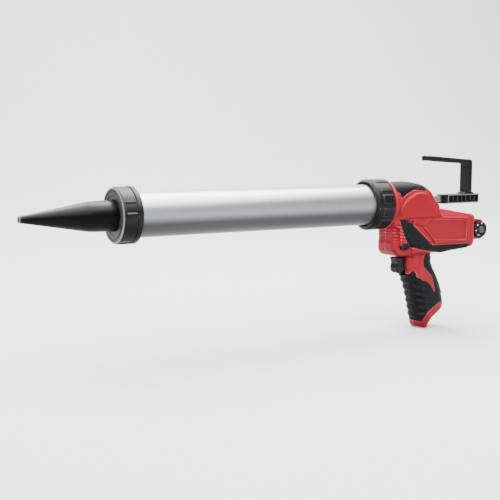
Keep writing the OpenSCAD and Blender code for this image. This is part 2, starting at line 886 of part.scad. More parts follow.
module pinion() {
    color([0.6, 0.61, 0.62])
        difference() {
            gear_y(pinion_x, pinion_z, -5, 10, pinion_teeth, rack_module, 0);
            pin_y(shaft_r, pinion_x, pinion_z, -5 - eps, 5 + eps);
        }
}

module pinion_shaft() {
    color([0.7, 0.7, 0.72])
        pin_y(shaft_r, pinion_x, pinion_z, left_plate_y - 1.5, right_plate_y + plate_t + 0.8);
}

module clutch_hub() {
    color([0.5, 0.5, 0.53])
        difference() {
            union() {
                pin_y(9, pinion_x, pinion_z, 5.4, 7.4);
                for (a = [0:60:359])
                    translate([pinion_x, 0, pinion_z])
                        rotate([0, a, 0])
                            block([4.5, 8.5], [7.4, 9.2], [-1.5, 1.5]);
            }
            pin_y(shaft_r, pinion_x, pinion_z, 5, 9.5);
        }
}

module drive_gear() {
    color([0.62, 0.6, 0.55])
        difference() {
            union() {
                difference() {
                    gear_y(pinion_x, pinion_z, drive_y, drive_w, drive_teeth, gear_module, mesh_angle);
                    pin_y(20, pinion_x, pinion_z, drive_y + drive_w - 1.5, drive_y + drive_w + eps);
                }
                pin_y(10, pinion_x, pinion_z, drive_y, drive_y + drive_w);
            }
            pin_y(shaft_r + play, pinion_x, pinion_z, drive_y - eps, drive_y + drive_w + eps);
            for (a = [30:60:359])
                translate([pinion_x, 0, pinion_z])
                    rotate([0, a, 0])
                        pin_y(3, 15, 0, drive_y - eps, drive_y + drive_w);
        }
}

module intermediate_shaft() {
    color([0.66, 0.66, 0.68])
        union() {
            pin_y(mid_r, mid_x, motor_z, left_plate_y - 1, right_plate_y + plate_t + 0.8);
            gear_y(mid_x, motor_z, drive_y - 0.3, drive_w + 0.6, spur_teeth, gear_module,
                mesh_angle + 180 + 180 / spur_teeth);
        }
}

bevel_face = [3.58, 1.79];   // axial face widths of the bevel pinion and gear
bevel_play = 0.35;

module bevel_gear() {
    // The large end faces +Y and the teeth narrow towards the crossing of the two axes
    h = bevel_r[0];
    color([0.62, 0.62, 0.6])
        difference() {
            union() {
                translate([mid_x, h, motor_z])
                    rotate([90, 0, 0])
                        rotate([0, 0, 180 / bevel_teeth[1]])
                            linear_extrude(height = bevel_face[1], scale = (h - bevel_face[1]) / h)
                                polygon(bevel_points(bevel_teeth[1], bevel_teeth[0], gear_module, bevel_play));
                pin_y(9.3, mid_x, motor_z, h - 0.5, h + 3.2);
            }
            pin_y(mid_r, mid_x, motor_z, 0, 12);
        }
}

module bevel_pinion() {
    h = bevel_r[1];
    color([0.66, 0.66, 0.68])
        union() {
            translate([mid_x + h, 0, motor_z])
                rotate([90, 0, -90])
                    mirror([1, 0, 0])
                        linear_extrude(height = bevel_face[0], scale = (h - bevel_face[0]) / h)
                            polygon(bevel_points(bevel_teeth[0], bevel_teeth[1], gear_module, bevel_play));
            pin_x(out_r, mid_x + h - 0.5, ring_x + 3, motor_z);
        }
}

module gearbox_ring() {
    x1 = motor_x - 0.2;
    color([0.58, 0.59, 0.6])
        difference() {
            pin_x(ring_out_r, ring_x + 3, x1, motor_z);
            translate([ring_x, 0, motor_z])
                rotate([90, 0, 90])
                    rotate([0, 0, 180 / ring_teeth])
                        linear_extrude(height = x1 - ring_x + eps)
                            polygon(gear_points(ring_teeth, stage_module, ADD, DED, -backlash));
        }
}

module gearbox_cap() {
    color([0.55, 0.56, 0.58])
        difference() {
            union() {
                pin_x(ring_out_r, ring_x, ring_x + 3, motor_z);
                pin_x(ring_pitch_r - 1.5, ring_x + 3, ring_x + 4.5, motor_z);
            }
            pin_x(out_r + play, ring_x - eps, ring_x + 5, motor_z);
        }
}

module stage_gear(x, teeth, w) {
    translate([x, 0, 0])
        rotate([90, 0, 90])
            linear_extrude(height = w)
                polygon(gear_points(teeth, stage_module, DED, ADD, backlash));
}

module carrier_pins(x) {
    for (a = [0, 120, 240])
        rotate([a, 0, 0])
            pin_x(pin_r, x + 1, x + carrier_t + stage_w + 0.8, 0, planet_orbit);
}

module carrier_1() {
    color([0.6, 0.6, 0.62])
        translate([0, 0, motor_z]) {
            pin_x(ring_pitch_r - 1.4, stage_1_x, stage_1_x + carrier_t);
            carrier_pins(stage_1_x);
            stage_gear(stage_1_x - stage_w - 1, sun_teeth, stage_w + 1);
        }
}

module carrier_2() {
    color([0.6, 0.6, 0.62])
        translate([0, 0, motor_z]) {
            pin_x(ring_pitch_r - 1.4, stage_2_x, stage_2_x + carrier_t);
            carrier_pins(stage_2_x);
            pin_x(out_r, ring_x + 3, stage_2_x);
        }
}

module planet(x, place) {
    a = 120 * place;
    color([0.85, 0.84, 0.8])
        translate([x + carrier_t + 0.3, planet_orbit * cos(a), motor_z + planet_orbit * sin(a)])
            difference() {
                rotate([a + 180 + 180 / planet_teeth, 0, 0])
                    stage_gear(0, planet_teeth, stage_w);
                pin_x(pin_r + play, -eps, stage_w + eps);
            }
}

module sun_gear() {
    color([0.66, 0.66, 0.68])
        translate([0, 0, motor_z])
            difference() {
                stage_gear(stage_1_x + carrier_t + 0.4, sun_teeth, stage_w + 1);
                pin_x(rotor_r, stage_1_x, motor_x);
            }
}

module motor_rotor() {
    color([0.5, 0.35, 0.2])
        translate([0, 0, motor_z]) {
            pin_x(rotor_r, stage_1_x + carrier_t + 0.4, motor_x + motor_len + 3);
            pin_x(10, motor_x + 8, motor_x + 31);
            pin_x(4, motor_x + 32, motor_x + 36);
        }
}

module motor_can() {
    color([0.45, 0.46, 0.48])
        translate([0, 0, motor_z])
            difference() {
                union() {
                    pin_x(motor_r, motor_x, motor_x + motor_len);
                    pin_x(5, motor_x - 0.1, motor_x);
                }
                pin_x(motor_r - 1.5, motor_x + 2.5, motor_x + motor_len + eps);
                pin_x(rotor_r + play, motor_x - eps, motor_x + 5);
            }
}

module motor_end_cap() {
    x0 = motor_x + motor_len - 3;
    color([0.12, 0.12, 0.13])
        translate([0, 0, motor_z])
            difference() {
                union() {
                    pin_x(motor_r - 1.5, x0, motor_x + motor_len);
                    pin_x(5, motor_x + motor_len, motor_x + motor_len + 2);
                }
                pin_x(rotor_r + play, x0 - eps, motor_x + motor_len + 5);
            }
}

// ================= controls =================
module trigger() {
    half = trigger_w / 2;
    color([0.12, 0.12, 0.13])
        union() {
            intersection() {
                xz(-half, half)
                    polygon(rounded(shifted([
                        [50, -73.4], [19.5, -73.4, 1.5], [23.4, -80, 9], [21, -89.5, 6], [24, -95.5, 3],
                        [34, -98.6, 3], [37, -96, 2], [45, -90, 2], [50, -90]
                    ])));
                translate([0, 0, -110])
                    linear_extrude(height = 50)
                        polygon(rounded([
                            [trigger_x - 4, -half, 7], [body_x + 60, -half], [body_x + 60, half],
                            [trigger_x - 4, half, 7]
                        ]));
            }
            pin_x(stem_r, trigger_back - 1, switch_x + 6, -83);
        }
}

module trigger_switch() {
    color([0.2, 0.2, 0.22])
        difference() {
            block([switch_x, switch_x + 16], [-9, 9], [-96, -75]);
            pin_x(stem_r + play, switch_x - eps, switch_x + 14, -83);
        }
}

module lock_button() {
    half = grip_w / 2 + 3;
    color([0.1, 0.1, 0.11])
        union() {
            for (s = [-1, 1])
                xz(s > 0 ? half - 5 : -half - 1.6, s > 0 ? half + 1.6 : -half + 5)
                    polygon(rounded(box_points(lock_x - 7, lock_x + 7, lock_z - 4, lock_z + 4, 3.4)));
            pin_y(2.5, lock_x, lock_z, -half, half);
        }
}

module speed_dial() {
    notches = 18;
    hub_y = dial_y[0] - 2.2;
    color([0.08, 0.08, 0.09])
        translate([dial_x, 0, dial_z])
            difference() {
                union() {
                    pin_y(dial_d / 2, 0, 0, dial_y[0] + 1, dial_y[1]);
                    pin_y(dial_d / 2 - 1, 0, 0, dial_y[0], dial_y[1]);
                    pin_y(4.6, 0, 0, hub_y, dial_y[1]);
                    pin_y(stem_r, 0, 0, dial_y[1] - 1, -4);
                }
                for (i = [0:notches - 1])
                    rotate([0, 360 * i / notches, 0])
                        pin_y(0.8, dial_d / 2 + 0.3, 0, dial_y[0] - 3, dial_y[1] + 1);
            }
}

module dial_potentiometer() {
    color([0.15, 0.25, 0.2])
        difference() {
            pin_y(7.5, dial_x, dial_z, dial_y[1] + 1, -0.5);
            pin_y(stem_r + play, dial_x, dial_z, dial_y[1], -3.5);
        }
}

module control_board() {
    x0 = motor_x - 12;
    color([0.1, 0.35, 0.18])
        union() {
            block([x0, x0 + 38], [-12, 12], [-24, -22.4]);
            block([x0 + 4, x0 + 12], [-8, -1], [-22.4, -19.5]);
            block([x0 + 15, x0 + 24], [-6, 6], [-22.4, -20]);
            translate([x0 + 29, 6, -22.4])
                cylinder(r = 3, h = 4);
        }
}

module terminal_block() {
    color([0.14, 0.14, 0.15])
        translate([body_x, 0, 0])
            block([58, 86], [-12, 12], [-120, -110]);
}

module contact_blades() {
    color([0.8, 0.62, 0.3])
        translate([body_x, 0, 0])
            for (y = [-8, 0, 8])
                block([69, 79], [y - 0.4, y + 0.4], [-132, -120]);
}

module shell_screws() {
    color([0.2, 0.2, 0.21])
        for (p = screw_places) {
            difference() {
                pin_y(3, body_x + p[0], p[1], head_y, head_y + 2.4);
                translate([body_x + p[0], head_y + 3, p[1]])
                    rotate([90, 0, 0])
                        cylinder(r = 1.4, h = 2, $fn = 6);
            }
            pin_y(screw_r - 0.05, body_x + p[0], p[1], -11, head_y);
        }
}

// ================= the pieces =================
nozzle();
front_cap();
barrel_tube();
tube_ring();
collar();
front_mount();
shell(true);  // left_shell
shell(false);  // right_shell
top_pad(true);  // left_top_pad
top_pad(false);  // right_top_pad
stripe_pad(true);  // left_stripe_pad
stripe_pad(false);  // right_stripe_pad
grip_pad(true);  // left_grip_pad
grip_pad(false);  // right_grip_pad
rack_rod();
piston();
piston_washer();
piston_screw();
handle_block();
hook_handle();
handle_screws();
rod_guide(mount_end + 2.5, mount_end + 8.5);  // front_guide
rod_guide(body_x + 58, body_x + 64);  // rear_guide
gear_plate(left_plate_y);  // left_gear_plate
gear_plate(right_plate_y);  // right_gear_plate
plate_pillars();
shaft_bushes();
pinion();
pinion_shaft();
clutch_hub();
drive_gear();
intermediate_shaft();
bevel_gear();
bevel_pinion();
gearbox_ring();
gearbox_cap();
carrier_1();
carrier_2();
planet(stage_1_x, 0);  // planet_1a
planet(stage_1_x, 1);  // planet_1b
planet(stage_1_x, 2);  // planet_1c
planet(stage_2_x, 0);  // planet_2a
planet(stage_2_x, 1);  // planet_2b
planet(stage_2_x, 2);  // planet_2c
sun_gear();
motor_rotor();
motor_can();
motor_end_cap();
trigger();
trigger_switch();
lock_button();
speed_dial();
dial_potentiometer();
control_board();
terminal_block();
contact_blades();
shell_screws();
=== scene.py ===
"""Looks of a cordless caulking gun: housing, pads, barrel group, push rod handle, controls and stage."""

import itertools
import json
import math

import bpy
import numpy as np
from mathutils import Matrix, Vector


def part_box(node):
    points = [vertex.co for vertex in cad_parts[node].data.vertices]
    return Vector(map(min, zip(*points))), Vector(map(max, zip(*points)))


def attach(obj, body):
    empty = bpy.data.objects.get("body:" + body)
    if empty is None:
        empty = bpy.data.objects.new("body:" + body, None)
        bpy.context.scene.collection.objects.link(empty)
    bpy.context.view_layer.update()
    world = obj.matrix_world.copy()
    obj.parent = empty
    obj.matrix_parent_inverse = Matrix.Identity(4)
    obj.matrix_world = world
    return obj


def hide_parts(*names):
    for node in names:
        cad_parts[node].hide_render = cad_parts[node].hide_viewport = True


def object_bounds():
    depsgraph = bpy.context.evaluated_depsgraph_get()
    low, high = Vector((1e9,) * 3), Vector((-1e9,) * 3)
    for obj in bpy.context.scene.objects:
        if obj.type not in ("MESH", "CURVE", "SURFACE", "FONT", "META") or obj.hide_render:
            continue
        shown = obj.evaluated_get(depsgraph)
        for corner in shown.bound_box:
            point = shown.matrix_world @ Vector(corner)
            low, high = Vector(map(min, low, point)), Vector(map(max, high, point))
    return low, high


bl_info = {
    "name": "Caulking Gun",
    "version": (1, 0, 0),
    "blender": (4, 5, 0),
    "location": "View3D > Sidebar > Caulking Gun",
    "description": "Builds the visible pieces and finishes of a cordless caulking gun",
    "category": "Object",
}

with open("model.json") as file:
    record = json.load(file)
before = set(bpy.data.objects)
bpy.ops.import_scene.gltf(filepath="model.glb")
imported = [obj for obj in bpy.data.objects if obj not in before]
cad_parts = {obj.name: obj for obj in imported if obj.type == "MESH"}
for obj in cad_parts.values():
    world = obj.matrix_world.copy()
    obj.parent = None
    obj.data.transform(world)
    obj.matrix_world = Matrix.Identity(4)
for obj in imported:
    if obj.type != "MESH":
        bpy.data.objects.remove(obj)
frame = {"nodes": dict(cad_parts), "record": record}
CAD_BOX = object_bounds()

MM = 0.001
LIP_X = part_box("left_shell")[0].x / MM      # front face of the housing


def places(node):
    """Low and high corner of a CAD node, in millimetres."""
    low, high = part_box(node)
    return [c / MM for c in low], [c / MM for c in high]


# ---------------------------------------------------------------- outlines
def round_corner(before, corner, after, radius, steps):
    back = (before - corner) / np.linalg.norm(before - corner)
    on = (after - corner) / np.linalg.norm(after - corner)
    half = math.acos(np.clip(back @ on, -1, 1)) / 2
    bisector = (back + on) / np.linalg.norm(back + on)
    centre = corner + bisector * radius / math.sin(half)
    start = corner + back * radius / math.tan(half) - centre
    end = corner + on * radius / math.tan(half) - centre
    first, last = math.atan2(start[1], start[0]), math.atan2(end[1], end[0])
    turn = (last - first + math.pi) % (2 * math.pi) - math.pi
    angles = first + turn * np.linspace(0, 1, steps + 1)
    return centre + radius * np.column_stack([np.cos(angles), np.sin(angles)])


def outline(points, steps=6):
    """A closed line through the points, each of which may carry a corner radius."""
    flat = [np.array(p[:2], float) for p in points]
    line = []
    for i, p in enumerate(points):
        if len(p) < 3 or p[2] == 0:
            line.append(flat[i][None])
        else:
            line.append(round_corner(flat[i - 1], flat[i], flat[(i + 1) % len(flat)], p[2], steps))
    return np.vstack(line)


def from_outline(line, u, v):
    """Distance to a closed line, negative inside it."""
    u, v = np.broadcast_arrays(u, v)
    nearest = np.full(u.shape, 1e12)
    inside = np.zeros(u.shape, bool)
    for (u0, v0), (u1, v1) in zip(line, np.roll(line, -1, axis=0)):
        eu, ev = u1 - u0, v1 - v0
        if eu * eu + ev * ev < 1e-12:
            continue
        wu, wv = u - u0, v - v0
        along = np.clip((wu * eu + wv * ev) / (eu * eu + ev * ev), 0, 1)
        nearest = np.minimum(nearest, (wu - eu * along) ** 2 + (wv - ev * along) ** 2)
        if v0 != v1:
            inside ^= ((v0 <= v) != (v1 <= v)) & (u < u0 + wv * eu / ev)
    return np.where(inside, -1, 1) * np.sqrt(nearest)


# ---------------------------------------------------------------- forms, as distances in millimetres
def overlap(a, b, radius=0.0):
    """What a and b share, with its edges rounded."""
    if radius == 0:
        return np.maximum(a, b)
    rounded = np.hypot(np.maximum(radius + a, 0), np.maximum(radius + b, 0))
    return np.minimum(-radius, np.maximum(a, b)) + rounded


def join(a, b, radius=0.0):
    """a and b together, with a fillet between them."""
    if radius == 0:
        return np.minimum(a, b)
    fillet = np.hypot(np.maximum(radius - a, 0), np.maximum(radius - b, 0))
    return np.maximum(radius, np.minimum(a, b)) - fillet


def cut(a, b, radius=0.0):
    return overlap(a, -b, radius)


def slab(v, low, high):
    return np.abs(v - (low + high) / 2) - (high - low) / 2


def box_form(x, y, z, x_range, y_range, z_range, radius):
    return overlap(overlap(slab(x, *x_range), slab(y, *y_range), radius), slab(z, *z_range), radius)


def ramp(distance, width):
    """1 well inside an outline, 0 outside it, with a soft bevel of this width."""
    t = np.clip(-distance / width, 0, 1)
    return t * t * (3 - 2 * t)


def rise(v, low, high):
    t = np.clip((v - low) / (high - low), 0, 1)
    return t * t * (3 - 2 * t)


# ---------------------------------------------------------------- meshes
def new_piece(name, points, faces, body, slot, finish, nodes=()):
    """A smooth mesh in the shared frame, from points in millimetres."""
    mesh = bpy.data.meshes.new(name)
    points = np.ascontiguousarray(points, np.float64) * MM
    faces = np.ascontiguousarray(faces, np.int32)
    mesh.vertices.add(len(points))
    mesh.vertices.foreach_set("co", points.ravel())
    mesh.loops.add(faces.size)
    mesh.loops.foreach_set("vertex_index", faces.ravel())
    mesh.polygons.add(len(faces))
    mesh.polygons.foreach_set("loop_start", np.arange(len(faces), dtype=np.int32) * faces.shape[1])
    mesh.polygons.foreach_set("use_smooth", np.ones(len(faces), bool))
    mesh.update(calc_edges=True)
    mesh.validate()
    mesh.materials.append(finish)
    piece = bpy.data.objects.new(name, mesh)
    bpy.context.collection.objects.link(piece)
    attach(piece, body)
    if nodes:
        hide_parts(*nodes)
    return piece


CORNERS = list(itertools.product((0, 1), repeat=3))


def skin(form, low, high, cell):
    """Quads over a form's surface: one point in each cell that the surface crosses, drawn onto it."""
    low, high = np.array(low, float), np.array(high, float)
    counts = np.ceil((high - low) / cell).astype(int) + 1
    axes = [low[i] + cell * np.arange(counts[i]) for i in range(3)]
    field = form(axes[0][:, None, None], axes[1][None, :, None], axes[2][None, None, :])
    field = np.ascontiguousarray(np.broadcast_to(field, counts), np.float32)
    inside = field < 0
    last = counts - 1
    filled = np.zeros(last, np.int8)
    for c in CORNERS:
        filled += inside[tuple(slice(c[i], last[i] + c[i]) for i in range(3))]
    crossed = (filled > 0) & (filled < 8)
    index = np.full(last, -1, np.int64)
    index[crossed] = np.arange(crossed.sum())
    cells = np.argwhere(crossed)
    total, hits = np.zeros((len(cells), 3)), np.zeros(len(cells))
    for axis in range(3):
        step = np.eye(3, dtype=int)[axis]
        for c in CORNERS:
            if c[axis]:
                continue
            a = cells + np.array(c)
            fa, fb = field[tuple(a.T)], field[tuple((a + step).T)]
            here = (fa < 0) != (fb < 0)
            t = (fa / np.where(here, fa - fb, 1))[:, None]
            total[here] += (a + t * step)[here]
            hits[here] += 1
    points = low + cell * total / hits[:, None]
    quads = []
    for axis in range(3):
        u, v = (axis + 1) % 3, (axis + 2) % 3
        ends = [slice(0, last[axis]) if i == axis else slice(1, last[i]) for i in range(3)]
        shifted = list(ends)
        shifted[axis] = slice(1, counts[axis])
        a, b = inside[tuple(ends)], inside[tuple(shifted)]
        edges = np.argwhere(a != b)
        outwards = a[tuple(edges.T)]
        edges = edges + np.array([0 if i == axis else 1 for i in range(3)])
        eu, ev = np.eye(3, dtype=int)[u], np.eye(3, dtype=int)[v]
        ring = [index[tuple((edges - du * eu - dv * ev).T)] for du, dv in ((1, 1), (0, 1), (0, 0), (1, 0))]
        quad = np.column_stack(ring)
        quad[~outwards] = quad[~outwards][:, ::-1]
        quads.append(quad)
    quads = np.vstack(quads)
    corners = {c: field[tuple((cells + np.array(c)).T)] for c in CORNERS}
    for _ in range(2):
        points = drawn_on(form, points, (points - low) / cell - cells, corners, cell)
    return points, quads


def drawn_on(form, points, share, corners, cell):
    """Moves each point along its cell's slope onto the form's surface, by half a cell at most."""
    slope = np.zeros(points.shape)
    for axis in range(3):
        for c, value in corners.items():
            weight = np.ones(len(points))
            for other in range(3):
                if other != axis:
                    weight = weight * (share[:, other] if c[other] else 1 - share[:, other])
            slope[:, axis] += (weight if c[axis] else -weight) * value / cell
    here = form(points[:, 0], points[:, 1], points[:, 2])
    move = slope * (here / np.maximum((slope ** 2).sum(axis=1), 0.25))[:, None]
    length = np.maximum(np.linalg.norm(move, axis=1), 1e-9)
    return points - move * np.minimum(1, 0.5 * cell / length)[:, None]


def skinned(name, form, low, high, cell, **facts):
    points, quads = skin(form, low, high, cell)
    if not len(quads):
        raise RuntimeError(f"{name} has no surface")
    return new_piece(name, points, quads, **facts)


def turned(name, profile, centre, axis, relief=None, around=192, longest=1.2, **facts):
    """A ring turned about an axis from an outline of (place along it, radius); relief changes the radius."""
    line = outline(profile, 5)
    dense = []
    for a, b in zip(line, np.roll(line, -1, axis=0)):
        parts = max(1, int(np.ceil(np.linalg.norm(b - a) / longest)))
        dense += [a + (b - a) * k / parts for k in range(parts)]
    dense = np.array(dense)
    angles = np.linspace(0, 2 * math.pi, around, endpoint=False)
    place, radius = np.broadcast_arrays(dense[:, None, 0], dense[:, None, 1] + 0 * angles[None])
    place = place + 0 * angles[None]
    if relief:
        radius = radius + relief(place, radius, angles[None])
    across = [i for i in range(3) if i != axis]
    points = np.zeros(place.shape + (3,))
    points[..., axis] = place + centre[axis]
    points[..., across[0]] = centre[across[0]] + radius * np.cos(angles)
    points[..., across[1]] = centre[across[1]] + radius * np.sin(angles)
    rows, columns = place.shape
    i, j = np.meshgrid(np.arange(rows), np.arange(columns), indexing="ij")
    ni, nj = (i + 1) % rows, (j + 1) % columns
    ring = [i * columns + j, ni * columns + j, ni * columns + nj, i * columns + nj]
    quads = np.stack(ring, axis=-1).reshape(-1, 4)
    points = points.reshape(-1, 3)
    a, b, d = (points[quads[:, k]] for k in (0, 1, 3))
    volume = np.einsum("ij,ij->i", a - points.mean(0), np.cross(b - a, d - a)).sum()
    if volume < 0:
        quads = quads[:, ::-1]
    return new_piece(name, points, quads, **facts)


# ---------------------------------------------------------------- finishes
class Signal:
    """A number or colour in a finish. Sums and products of signals add the nodes that work them out."""

    def __init__(self, tree, socket):
        self.tree = tree
        self.socket = socket

    def math(self, operation, *values):
        node = self.tree.nodes.new("ShaderNodeMath")
        node.operation = operation
        for place, value in zip(node.inputs, values):
            feed(self.tree, place, value)
        return Signal(self.tree, node.outputs[0])

    def __add__(self, other): return self.math("ADD", self, other)
    def __radd__(self, other): return self.math("ADD", other, self)
    def __sub__(self, other): return self.math("SUBTRACT", self, other)
    def __rsub__(self, other): return self.math("SUBTRACT", other, self)
    def __mul__(self, other): return self.math("MULTIPLY", self, other)
    def __rmul__(self, other): return self.math("MULTIPLY", other, self)
    def __truediv__(self, other): return self.math("DIVIDE", self, other)
    def __pow__(self, other): return self.math("POWER", self, other)

    def absolute(self):
        return self.math("ABSOLUTE", self)

    def hypot(self, other):
        return (self * self + other * other) ** 0.5

    def between(self, low, high, start=0.0, end=1.0):
        """This number taken from low..high to start..end, and held there."""
        node = self.tree.nodes.new("ShaderNodeMapRange")
        node.interpolation_type = "SMOOTHSTEP"
        ends = {"Value": self, "From Min": low, "From Max": high, "To Min": start, "To Max": end}
        for name, value in ends.items():
            feed(self.tree, node.inputs[name], value)
        return Signal(self.tree, node.outputs["Result"])


def feed(tree, place, value):
    if isinstance(value, Signal):
        tree.links.new(value.socket, place)
    else:
        place.default_value = value


class Finish:
    """A material made of nodes, with one surface shader."""

    def __init__(self, name):
        self.material = bpy.data.materials.new(name)
        self.material.use_nodes = True
        self.tree = self.material.node_tree
        self.shader = next(n for n in self.tree.nodes if n.type == "BSDF_PRINCIPLED")
        self.coordinates = self.node("ShaderNodeTexCoord", output="Object")

    def node(self, kind, settings=None, sockets=None, output=0):
        node = self.tree.nodes.new(kind)
        for key, value in (settings or {}).items():
            setattr(node, key, value)
        for key, value in (sockets or {}).items():
            feed(self.tree, node.inputs[key], value)
        return Signal(self.tree, node.outputs[output])

    def stretched(self, scale):
        """The place on the piece, multiplied by a scale along each axis."""
        return self.node("ShaderNodeVectorMath", {"operation": "MULTIPLY"}, {0: self.coordinates, 1: scale})

    def noise(self, scale, detail=3.0, vector=None):
        return self.node("ShaderNodeTexNoise", None,
                         {"Vector": vector or self.coordinates, "Scale": scale, "Detail": detail}, "Fac")

    def mix(self, share, a, b):
        node = self.tree.nodes.new("ShaderNodeMix")
        node.data_type = "RGBA"
        feed(self.tree, node.inputs[0], share)
        feed(self.tree, node.inputs[6], a if isinstance(a, Signal) else (*a, 1.0))
        feed(self.tree, node.inputs[7], b if isinstance(b, Signal) else (*b, 1.0))
        return Signal(self.tree, node.outputs[2])

    def upward(self, low=-0.45, high=0.45):
        """0 on faces that look down, 1 on faces that look up."""
        parts = self.tree.nodes.new("ShaderNodeSeparateXYZ")
        feed(self.tree, parts.inputs[0], self.node("ShaderNodeTexCoord", output="Normal"))
        return Signal(self.tree, parts.outputs[2]).between(low, high)

    def painted_edge_highlight(self, low=0.515, high=0.56):
        """0 on flat places, 1 along edges that stand out, where a paler colour is painted on as a highlight.
        """
        return self.node("ShaderNodeNewGeometry", output="Pointiness").between(low, high)

    def bump(self, height, distance, strength=1.0):
        return self.node("ShaderNodeBump", None,
                         {"Height": height, "Distance": distance, "Strength": strength}, "Normal")

    def axes(self):
        parts = self.tree.nodes.new("ShaderNodeSeparateXYZ")
        feed(self.tree, parts.inputs[0], self.coordinates)
        return [Signal(self.tree, o) for o in parts.outputs]

    def surface(self, **sockets):
        for key, value in sockets.items():
            place = self.shader.inputs[key.replace("_", " ")]
            if key == "Base_Color" and not isinstance(value, Signal):
                value = (*value, 1.0)
            feed(self.tree, place, value)
        return self.material


def tone(colour, factor):
    """The colour, darker or lighter by a factor."""
    return tuple(min(1, c * factor) for c in colour)


def moulded(name, colour, gloss, grain=900.0, depth=0.00003, mottle=0.12, coat=0.3, shine=0.06,
            underside_shade=0.5, edge_highlight=None):
    """Moulded plastic: a faint mottle, fine grain, a painted highlight in paler colour along edges that stand
    out, and painted shade that darkens its underside, where the coat also thins out.
    """
    f = Finish(name)
    broad, fine, up = f.noise(22.0, 4.0), f.noise(grain, 2.0), f.upward()
    # painted shade: faces that look down take a darker copy of the colour
    lit = f.mix(up, tone(colour, underside_shade), f.mix(broad, tone(colour, 1 - mottle), tone(colour, 1 + mottle)))
    # painted highlight: a paler colour along edges that stand out
    if edge_highlight:
        lit = f.mix(f.painted_edge_highlight() * (broad * 0.5 + 0.4), lit, edge_highlight)
    return f.surface(
        Base_Color=lit, Roughness=broad * 0.08 + fine * 0.06 + (gloss - 0.07),
        Normal=f.bump(fine, depth, 0.6), Coat_Weight=up * coat, Coat_Roughness=gloss * 0.9,
        Specular_IOR_Level=shine)


def front_cap_black(name, colour):
    """Black moulded plastic, paler on the cap's front from a painted reflection and finely pitted there, with
    a painted highlight round its rim and along edges that stand out.
    """
    f = Finish(name)
    x, y, z = f.axes()
    low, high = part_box("front_cap")
    front = x.between(low.x + 0.0012, low.x + 0.0022, 1.0, 0.0)
    on_rim = (y.hypot(z) - (high.z - 0.0019)).absolute().between(0.0004, 0.0011, 1.0, 0.0)
    rim = on_rim * x.between(low.x + 0.002, low.x + 0.003, 1.0, 0.0)
    broad, fine, up = f.noise(22.0, 4.0), f.noise(900.0, 2.0), f.upward()
    lit = f.mix(broad, tone(colour, 0.85), tone(colour, 1.15))
    # painted reflection: the front face turns pale grey, broken up by the fine pitting
    face = f.mix(front * (fine * 0.7 + 0.35), lit, (0.036, 0.0365, 0.038))
    # painted highlights: a pale grey ring round the rim, and paler colour along edges that stand out
    return f.surface(
        Base_Color=f.mix(rim * 0.85, f.mix(f.painted_edge_highlight() * 0.8, face, EDGE_HIGHLIGHT_GREY), (0.20, 0.20, 0.205)),
        Roughness=broad * 0.08 + fine * 0.1 + 0.32, Normal=f.bump(fine, 0.00006, 0.6),
        Coat_Weight=up * 0.7, Coat_Roughness=0.36, Specular_IOR_Level=0.06)


def block_black(name, colour):
    """Black moulded plastic with a painted highlight along the thin raised line round the row of pockets in
    the block's sides, and along edges that stand out.
    """
    f = Finish(name)
    x, y, z = f.axes()
    low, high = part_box("handle_block")
    first, last = low.x + 0.0073, high.x - 0.0015
    along = (x - (first + last) / 2).absolute() - (last - first) / 2
    upright = (z - 0.00345).absolute() - 0.00565
    line = along.math("MAXIMUM", along, upright).absolute().between(0.00028, 0.0006, 1.0, 0.0)
    on_side = y.absolute().between(high.y - 0.0009, high.y - 0.0003)
    broad, fine, up = f.noise(22.0, 4.0), f.noise(700.0, 2.0), f.upward()
    lit = f.mix(broad, tone(colour, 0.85), tone(colour, 1.15))
    # painted highlight: pale grey along the thin raised line on each side
    lined = f.mix(line * on_side, lit, (0.22, 0.22, 0.225))
    # painted highlight: paler colour along edges that stand out
    return f.surface(
        Base_Color=f.mix(f.painted_edge_highlight() * 0.7, lined, EDGE_HIGHLIGHT_GREY), Roughness=broad * 0.08 + fine * 0.06 + 0.3,
        Normal=f.bump(fine, 0.00003, 0.6), Coat_Weight=up * 0.6, Coat_Roughness=0.32, Specular_IOR_Level=0.06)


def nozzle_black(name, colour):
    """Black moulded plastic, paler towards the rim at the nozzle's tip."""
    f = Finish(name)
    x, _, _ = f.axes()
    broad, fine = f.noise(26.0, 4.0), f.noise(800.0, 2.0)
    rim = x.between(0.0004, 0.0022, 1.0, 0.0)
    body = f.mix(broad, tone(colour, 0.75), tone(colour, 1.3))
    return f.surface(
        Base_Color=f.mix(rim * 0.55, body, (0.30, 0.30, 0.31)), Roughness=broad * 0.1 + fine * 0.05 + 0.36,
        Normal=f.bump(fine, 0.00003, 0.5), Coat_Weight=f.upward(-0.05, 1.0) * 0.6, Coat_Roughness=0.3,
        Specular_IOR_Level=0.05)


def soft_rubber(name, colour):
    """Overmoulded rubber: matt, with a fine pebbled grain and a painted highlight in paler colour along edges
    that stand out.
    """
    f = Finish(name)
    pebble = f.node("ShaderNodeTexVoronoi", None, {"Vector": f.coordinates, "Scale": 1400.0}, "Distance")
    broad = f.noise(30.0, 4.0)
    body = f.mix(broad, tone(colour, 0.8), tone(colour, 1.25))
    # painted highlight: paler grey along edges that stand out
    return f.surface(
        Base_Color=f.mix(f.painted_edge_highlight() * 0.8, body, (0.035, 0.036, 0.04)), Roughness=broad * 0.12 + 0.42,
        Normal=f.bump(pebble, 0.00005, 0.4), Coat_Weight=f.upward(-0.35, 0.75) * 0.5, Coat_Roughness=0.42,
        Specular_IOR_Level=0.05)


